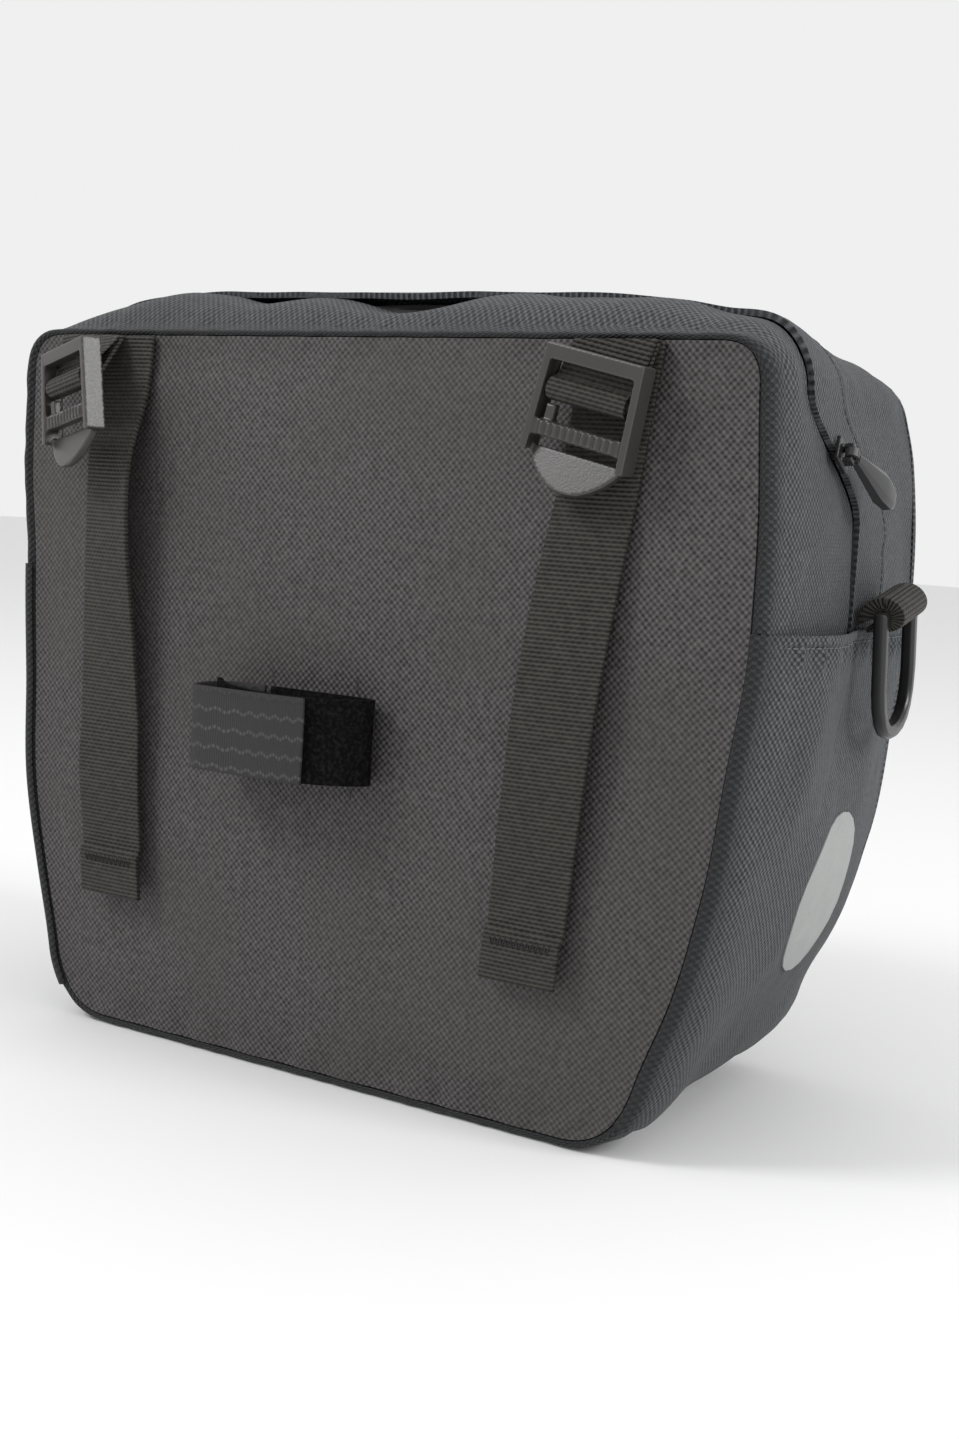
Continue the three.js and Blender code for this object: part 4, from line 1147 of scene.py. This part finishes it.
def surface_frame(rule, s, t, ds=0.002, dt=0.01):
    """Place, direction along s and outward normal of a rule's surface"""
    here = in_frame(*rule(s, t))
    along = in_frame(*rule(s + ds, t)) - in_frame(*rule(s - ds, t))
    across = in_frame(*rule(s, t + dt)) - in_frame(*rule(s, t - dt))
    out = along.cross(across).normalized()
    if out.dot(here - in_frame(*bag_middle)) < 0:
        out = -out
    return here, along.normalized(), out


def seed_stitch(length, width, height):
    """One stitch: a low rounded bar lying along x, centred on its own origin"""
    bpy.ops.object.select_all(action="DESELECT")
    bpy.ops.mesh.primitive_uv_sphere_add(segments=8, ring_count=6, radius=0.5)
    seed = bpy.context.object
    for vertex in seed.data.vertices:
        vertex.co.x *= length / 1000
        vertex.co.y *= width / 1000
        vertex.co.z *= height / 1000
    return seed


def coil_rule(s, t):
    girth = between(right_seam, left_seam, s)
    return lifted(girth, zip_share(girth, between(-2, 2, t)), -cloth_wall - 1.2)


coil_length = sum(
    (Vector(coil_rule((k + 1) / 200, 0.5)) - Vector(coil_rule(k / 200, 0.5))).length for k in range(200)
)
coil_pitch = 1.5
coil_count = int(coil_length / coil_pitch)
coil_frames = []
for k in range(coil_count):
    place, along, out = surface_frame(coil_rule, (k + 0.5) / coil_count, 0.5)
    coil_frames.append(axes_at(place, along, out))
coil = scatter("zip_coil", seed_stitch(1.15, 2.6, 1.2), coil_frames)
dress(coil, coil_plastic, "bag", "zip")
print("coil loops", coil_count, "over", round(coil_length), "mm")

# %% [markdown]
# ## Side pockets
# Each side has an open pocket. Its cloth is caught in the rear seam and hangs a little open at its
# hem between that seam and the ring's loop. The hem is folded and stitched, which gathers it.

# %% Pockets
pocket_wall = 1.6
pocket_cloth = 0.8
pocket_mouth = 5.0
pocket_front = 0.93
pocket_floor = 8.8
pocket_height = 146.0
pocket_roll = 0.12
hem_crowding = 1.7
ring_loop_share = (80 - 12.5) / bag_depth
pocket_folds = rows(
    "up along height length lift",
    (0.8, 0.2, 0.16, 0.07, 0.35),
    (0.74, 0.72, 0.08, 0.16, 0.45),
    (0.6, 0.36, 0.25, 0.14, 0.4),
)


def pocket_lift(height, share):
    up = height / pocket_height
    mouth = math.sin(math.pi * min(max(share / ring_loop_share, 0), 1)) ** 1.5
    hang = eased(up, 0.25, 1)
    edge = math.sin(math.pi * min(max(share / pocket_front, 0), 1)) ** 0.8
    body = 0.5 * edge * bell(up - 0.5, 0.3)
    folds = sum(
        fold["lift"] * bell(up - fold["up"], fold["height"]) * bell(share - fold["along"], fold["length"])
        for fold in pocket_folds
    )
    return gap + pocket_mouth * (max(mouth * hang, body) + folds * edge)


def pocket_rule(side):
    low = girth_at(pocket_floor, side)
    high = girth_at(hem_height, side)

    def rule(s, t):
        girth = between(low, high, 1 - (1 - s) ** hem_crowding)
        height = seam_point(girth).y
        if t < pocket_roll:
            share = 2.5 * (t / pocket_roll - 1)
        else:
            share = between(first_share, pocket_front, (t - pocket_roll) / (1 - pocket_roll))
        lift = pocket_lift(height, share) if share > 0 else gap
        below_hem = hem_height - height
        depth = max(share, 0) * bag_depth
        soft = eased(depth, 1, 14)
        crease = math.sin(depth / 1.7 + 3 * waver(depth, 0, 0, 8)) * (0.5 + abs(waver(depth, 3, 0, 19)) * 1.6)
        gathers = 0.75 * bell(below_hem - 5.2, 3.4) * crease
        hem = 0.55 * (1 - eased(below_hem, 2.2, 3)) - 0.45 * bell(below_hem - 3.1, 0.8)
        ruffle = soft * (0.8 * waver(depth, height, 11, 30) + 0.3 * waver(depth, height, 4, 11))
        full = eased(depth, 0, 10) * eased(height, 9, 22)
        face = between(pocket_cloth, pocket_wall, full)
        return lifted(girth, share, lift + face + soft * (gathers + hem) + ruffle * eased(below_hem, 0, 25))

    return rule


for side, word in ((1, "right"), (-1, "left")):
    pocket = lay_sheet(
        f"side_pocket_cloth_{word}", 130, 110, pocket_rule(side), (0.15, 0.14), pocket_cloth, bag_middle,
    )
    lay_depths(pocket, pocket_roll, 0.14)
    layer = pocket.data.uv_layers.active.data
    for loop in pocket.data.loops:
        layer[loop.index].uv = (pocket.data.vertices[loop.vertex_index].co.z, layer[loop.index].uv[1])
    dress(pocket, side_cloth, "bag", "side_cloth", f"side_pocket_{word}")
    declare_sheet(pocket, "stretched", "lower_gusset")

# %% [markdown]
# ## Straps and webbing loops
# The straps hang from the top seam, swing clear of the panel and end in a folded hem. Webbing is
# stiff, so it bends along its length only.

# %% Straps
web_width = 25.0
web_thick = 1.6
strap_length = 178.0
hem_length = 14.0
strap_hang = {
    "right": {
        "x": 92.5,
        "inward": 17.0,
        "sign": 1,
        "rows": rows(
            "down out turn", (0, 0, 0), (0.1, 0, 0), (0.22, 0.1, 0), (0.36, 0.5, 4), (0.55, 1, 5),
            (0.75, 0.9, 3), (0.9, 0.7, 0), (1, 0.6, 0),
        ),
    },
    "left": {
        "x": 91.0,
        "inward": 11.0,
        "sign": -1,
        "rows": rows(
            "down out turn", (0, 0, 0), (0.1, 0.05, -5), (0.22, 0.5, -16), (0.36, 0.7, -16), (0.55, 0.8, -7),
            (0.75, 1, 2), (0.9, 0.9, 0), (1, 0.8, 0),
        ),
    },
}


def strap_rule(hang):
    def rule(s, t):
        down = t
        turned = math.radians(read(hang["rows"], "down", "turn", down))
        x = hang["sign"] * (hang["x"] - hang["inward"] * down)
        z = panel_height - gap - strap_length * down
        swing = abs(math.sin(turned)) * web_width / 2
        stand = 5 * read(hang["rows"], "down", "out", down) + swing
        layers = 1 + eased(down, 1 - hem_length / strap_length - 0.006, 1 - hem_length / strap_length)
        y = panel_y(x, z) - gap - stand - web_thick * layers
        reach = (s - 0.5) * web_width
        cup = 0.35 * (2 * abs(s - 0.5)) ** 2
        return (
            x + reach * math.cos(turned) + cup * math.sin(turned),
            y + reach * math.sin(turned) + cup * math.cos(turned),
            z,
        )

    return rule


def swap_axes(piece):
    """Turn the UV map, so that its first axis runs along the webbing"""
    layer = piece.data.uv_layers.active.data
    for loop in piece.data.loops:
        u, v = layer[loop.index].uv
        layer[loop.index].uv = (v, u)


def stitch_row(name, rule, points, thread, slot, width=0.5, height=0.5, lift=0.0001):
    """Stitches along a list of places (s, t) on a rule's surface, each from one place to the next"""
    frames = []
    for (s0, t0), (s1, t1) in zip(points, points[1:]):
        a = in_frame(*rule(s0, t0))
        b = in_frame(*rule(s1, t1))
        _, _, out = surface_frame(rule, (s0 + s1) / 2, (t0 + t1) / 2, 0.01, 0.004)
        span = (b - a).length * 1000
        frames.append(axes_at((a + b) / 2 + out * lift, b - a, out, (span * 0.92, 1, 1)))
    piece = scatter(name, seed_stitch(1.0, width, height), frames)
    dress(piece, thread, "bag", slot)


for word, hang in strap_hang.items():
    rule = strap_rule(hang)
    strap = lay_sheet(
        f"strap_webbing_{word}", 16, 160, rule, (web_width / 1000, strap_length / 1000), web_thick,
        bag_middle, 0.35,
    )
    swap_axes(strap)
    dress(strap, webbing, "bag", "webbing", f"strap_{word}")
    declare_sheet(strap, "hung", "rear_gusset")
    start = 1 - hem_length / strap_length
    zigzag = [
        (0.1 + 0.8 * k / 22, start + (0.022 if k % 2 else 0.006)) for k in range(23)
    ]
    stitch_row(f"strap_hem_stitches_{word}", rule, zigzag, dark_thread, "webbing")

# %% [markdown]
# ## Seam stitches
# A row of stitches holds the folded hem of each pocket, and one runs along the cover flap's seam.
# They are single low bars, laid from one needle hole to the next.

# %% Seam stitches
stitch_drop = 3.1
pocket_run = 137.2
hem_place = 1 - (stitch_drop / pocket_run) ** (1 / hem_crowding)
hem_row = [(hem_place, 0.135 + 0.86 * k / 46) for k in range(47)]
for side, word in ((1, "right"), (-1, "left")):
    stitch_row(
        f"pocket_hem_stitches_{word}", pocket_rule(side), hem_row, pale_thread, "side_cloth",
        0.5, 0.5, 0.00015,
    )
flap_rule = band_rule(right_seam, left_seam, flap_start, flap_end, flap_lift)
flap_row = [(0.004 + 0.992 * k / 180, 0.93) for k in range(181)]
stitch_row("flap_seam_stitches", flap_rule, flap_row, grey_thread, "side_cloth", 0.45, 0.35)
for number, (x, z) in enumerate(((-20.5, 117), (-19.5, 86), (11, 117), (11, 86))):
    tape_row = [(x, z + step * 1.6) for step in range(4)]
    stitch_row(
        f"tape_seam_stitches_{number}", lambda x, z: (x, panel_y(x, z), z), tape_row, grey_thread,
        "rear_cloth", 0.4, 0.4, 0.0003,
    )
print("stitches laid")

# %% [markdown]
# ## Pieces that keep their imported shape
# The hard pieces already have their right shape, so their solids are copied and merged. The
# buckles and the slider are remeshed in small cells and smoothed, which softens all their corners.
# The rings, the pull and the disc get round edges. The webbing loops are copied too, because they
# are wrapped round bars, and their bends are smoothed.

# %% Hard pieces
buckle_lean = {"right": 12, "left": -10}
wrap_radius = 0.0055


def rib_map(piece, along_across):
    """UV map in metres, so that the ribs run across the webbing"""
    mesh = piece.data
    layer = mesh.uv_layers.new(name="ribs") if not mesh.uv_layers else mesh.uv_layers[0]
    for loop in mesh.loops:
        layer.data[loop.index].uv = along_across(mesh.vertices[loop.vertex_index].co)


for word in ("right", "left"):
    buckle = moulded_copy(f"buckle_{word}", f"buckle_moulding_{word}", 0.36, 5)
    dress(buckle, buckle_plastic, "bag", "buckle", f"buckle_{word}")
    ring = rounded_copy(f"d_ring_{word}", f"d_ring_moulding_{word}", 0.25)
    dress(ring, ring_plastic, f"ring_{word}", "ring", f"d_ring_{word}")
    buckle_loop = rounded_copy(f"buckle_loop_{word}", f"buckle_loop_webbing_{word}", 0.4, 2, 50, arched=True)
    lean = math.radians(buckle_lean[word])
    rib_map(buckle_loop, lambda p: (p.z * math.cos(lean) + p.x * math.sin(lean), p.x * math.cos(lean)))
    ring_loop = rounded_copy(f"ring_loop_{word}", f"ring_loop_webbing_{word}", 0.4, 2, 50, arched=True)
    bar = next(joint for joint in frame["joints"] if joint["name"] == f"ring_{word}_swing")
    bar_middle, bar_line = Vector(bar["pos_m"]), Vector(bar["axis"]).normalized()
    outward = bar_line.cross(Vector((0, 0, 1))).normalized()
    upward = outward.cross(bar_line)

    def round_bar(p):
        from_bar = p - bar_middle
        angle = math.atan2(from_bar.dot(upward), abs(from_bar.dot(outward)) + 0.0001)
        return angle * wrap_radius, from_bar.dot(bar_line)

    rib_map(ring_loop, round_bar)
    for loop_piece, node in ((buckle_loop, f"buckle_loop_{word}"), (ring_loop, f"ring_loop_{word}")):
        dress(loop_piece, webbing, "bag", "webbing", node)
slider = moulded_copy("zip_slider", "zip_slider_casting", 0.2, 4)
dress(slider, slider_lacquer, "bag", "slider", "zip_slider")
pull = rounded_copy("zip_pull", "zip_pull_grip", 0.18, 2, 20)
bpy.ops.object.shade_smooth_by_angle(angle=math.radians(18))
dress(pull, pull_plastic, "pull", "pull", "zip_pull")
disc = rounded_copy("reflector_disc", "reflector_film_disc", 0.15, angle=60)
dress(disc, film, "bag", "reflector", "reflector_disc")

# %% [markdown]
# ## Fastening tape
# A strip of hook tape and a strip of pile make a loop. The hook strip laps over the pile in front,
# and the pile's free end stands up a little inside it.

# %% Fastening tape
tape_left = -38.0
tape_right = 23.0
tape_height = 104.0
tape_out = 24.0
hook_line = rows(
    "across out up",
    (0.28, 0, 0), (0.1, 0.03, 0), (0.01, 0.22, 0), (0, 0.5, 0), (0.04, 0.84, 0), (0.12, 0.98, 0),
    (0.4, 1, 0), (0.6, 1, 0), (0.77, 0.96, 0),
)
pile_line = rows(
    "across out up",
    (0.32, 0, 0), (0.8, 0, 0), (0.96, 0.08, 0), (1, 0.24, 0), (0.97, 0.46, 0), (0.88, 0.68, 0),
    (0.72, 0.87, 0), (0.5, 0.92, 0), (0.26, 0.86, 1), (0.18, 0.8, 2.4),
)


def tape_line_point(table, t):
    """Point of the tape's middle line, through its rows"""
    keyed = [{**row, "k": k} for k, row in enumerate(table)]
    k = t * (len(table) - 1)
    x = tape_left + (tape_right - tape_left) * read(keyed, "k", "across", k)
    out = read(keyed, "k", "out", k)
    y = panel_y(x, tape_height) - gap - tape_out * max(out, 0)
    return Vector((x, y, tape_height + read(keyed, "k", "up", k)))


def tape_rule_of(table, outward):
    def rule(s, t):
        here = tape_line_point(table, t)
        along = tape_line_point(table, min(t + 0.01, 1)) - tape_line_point(table, max(t - 0.01, 0))
        away = Vector((along.y, -along.x, 0)).normalized() * outward
        bow = 0.25 * math.cos(math.pi * (s - 0.5))
        return here + away * (1.5 + bow) + Vector((0, 0, (s - 0.5) * 25))

    return rule


tape_inside = (-8, -14, 104)
hook_rule = tape_rule_of(hook_line, -1)
pile_rule = tape_rule_of(pile_line, 1)
hook = lay_sheet("hook_strip", 16, 110, hook_rule, (0.025, 0.1), 1.3, tape_inside, 0.3)
pile = lay_sheet("pile_strip", 16, 110, pile_rule, (0.025, 0.12), 1.3, tape_inside, 0.3)
for piece in (hook, pile):
    swap_axes(piece)
dress(hook, hook_grey, "bag", "hook_tape", "hook_tape")
dress(pile, black_pile, "bag", "fuzzy_tape", "fuzzy_tape")
declare_sheet(hook, "folded", "rear_panel")
declare_sheet(pile, "folded", "rear_panel")
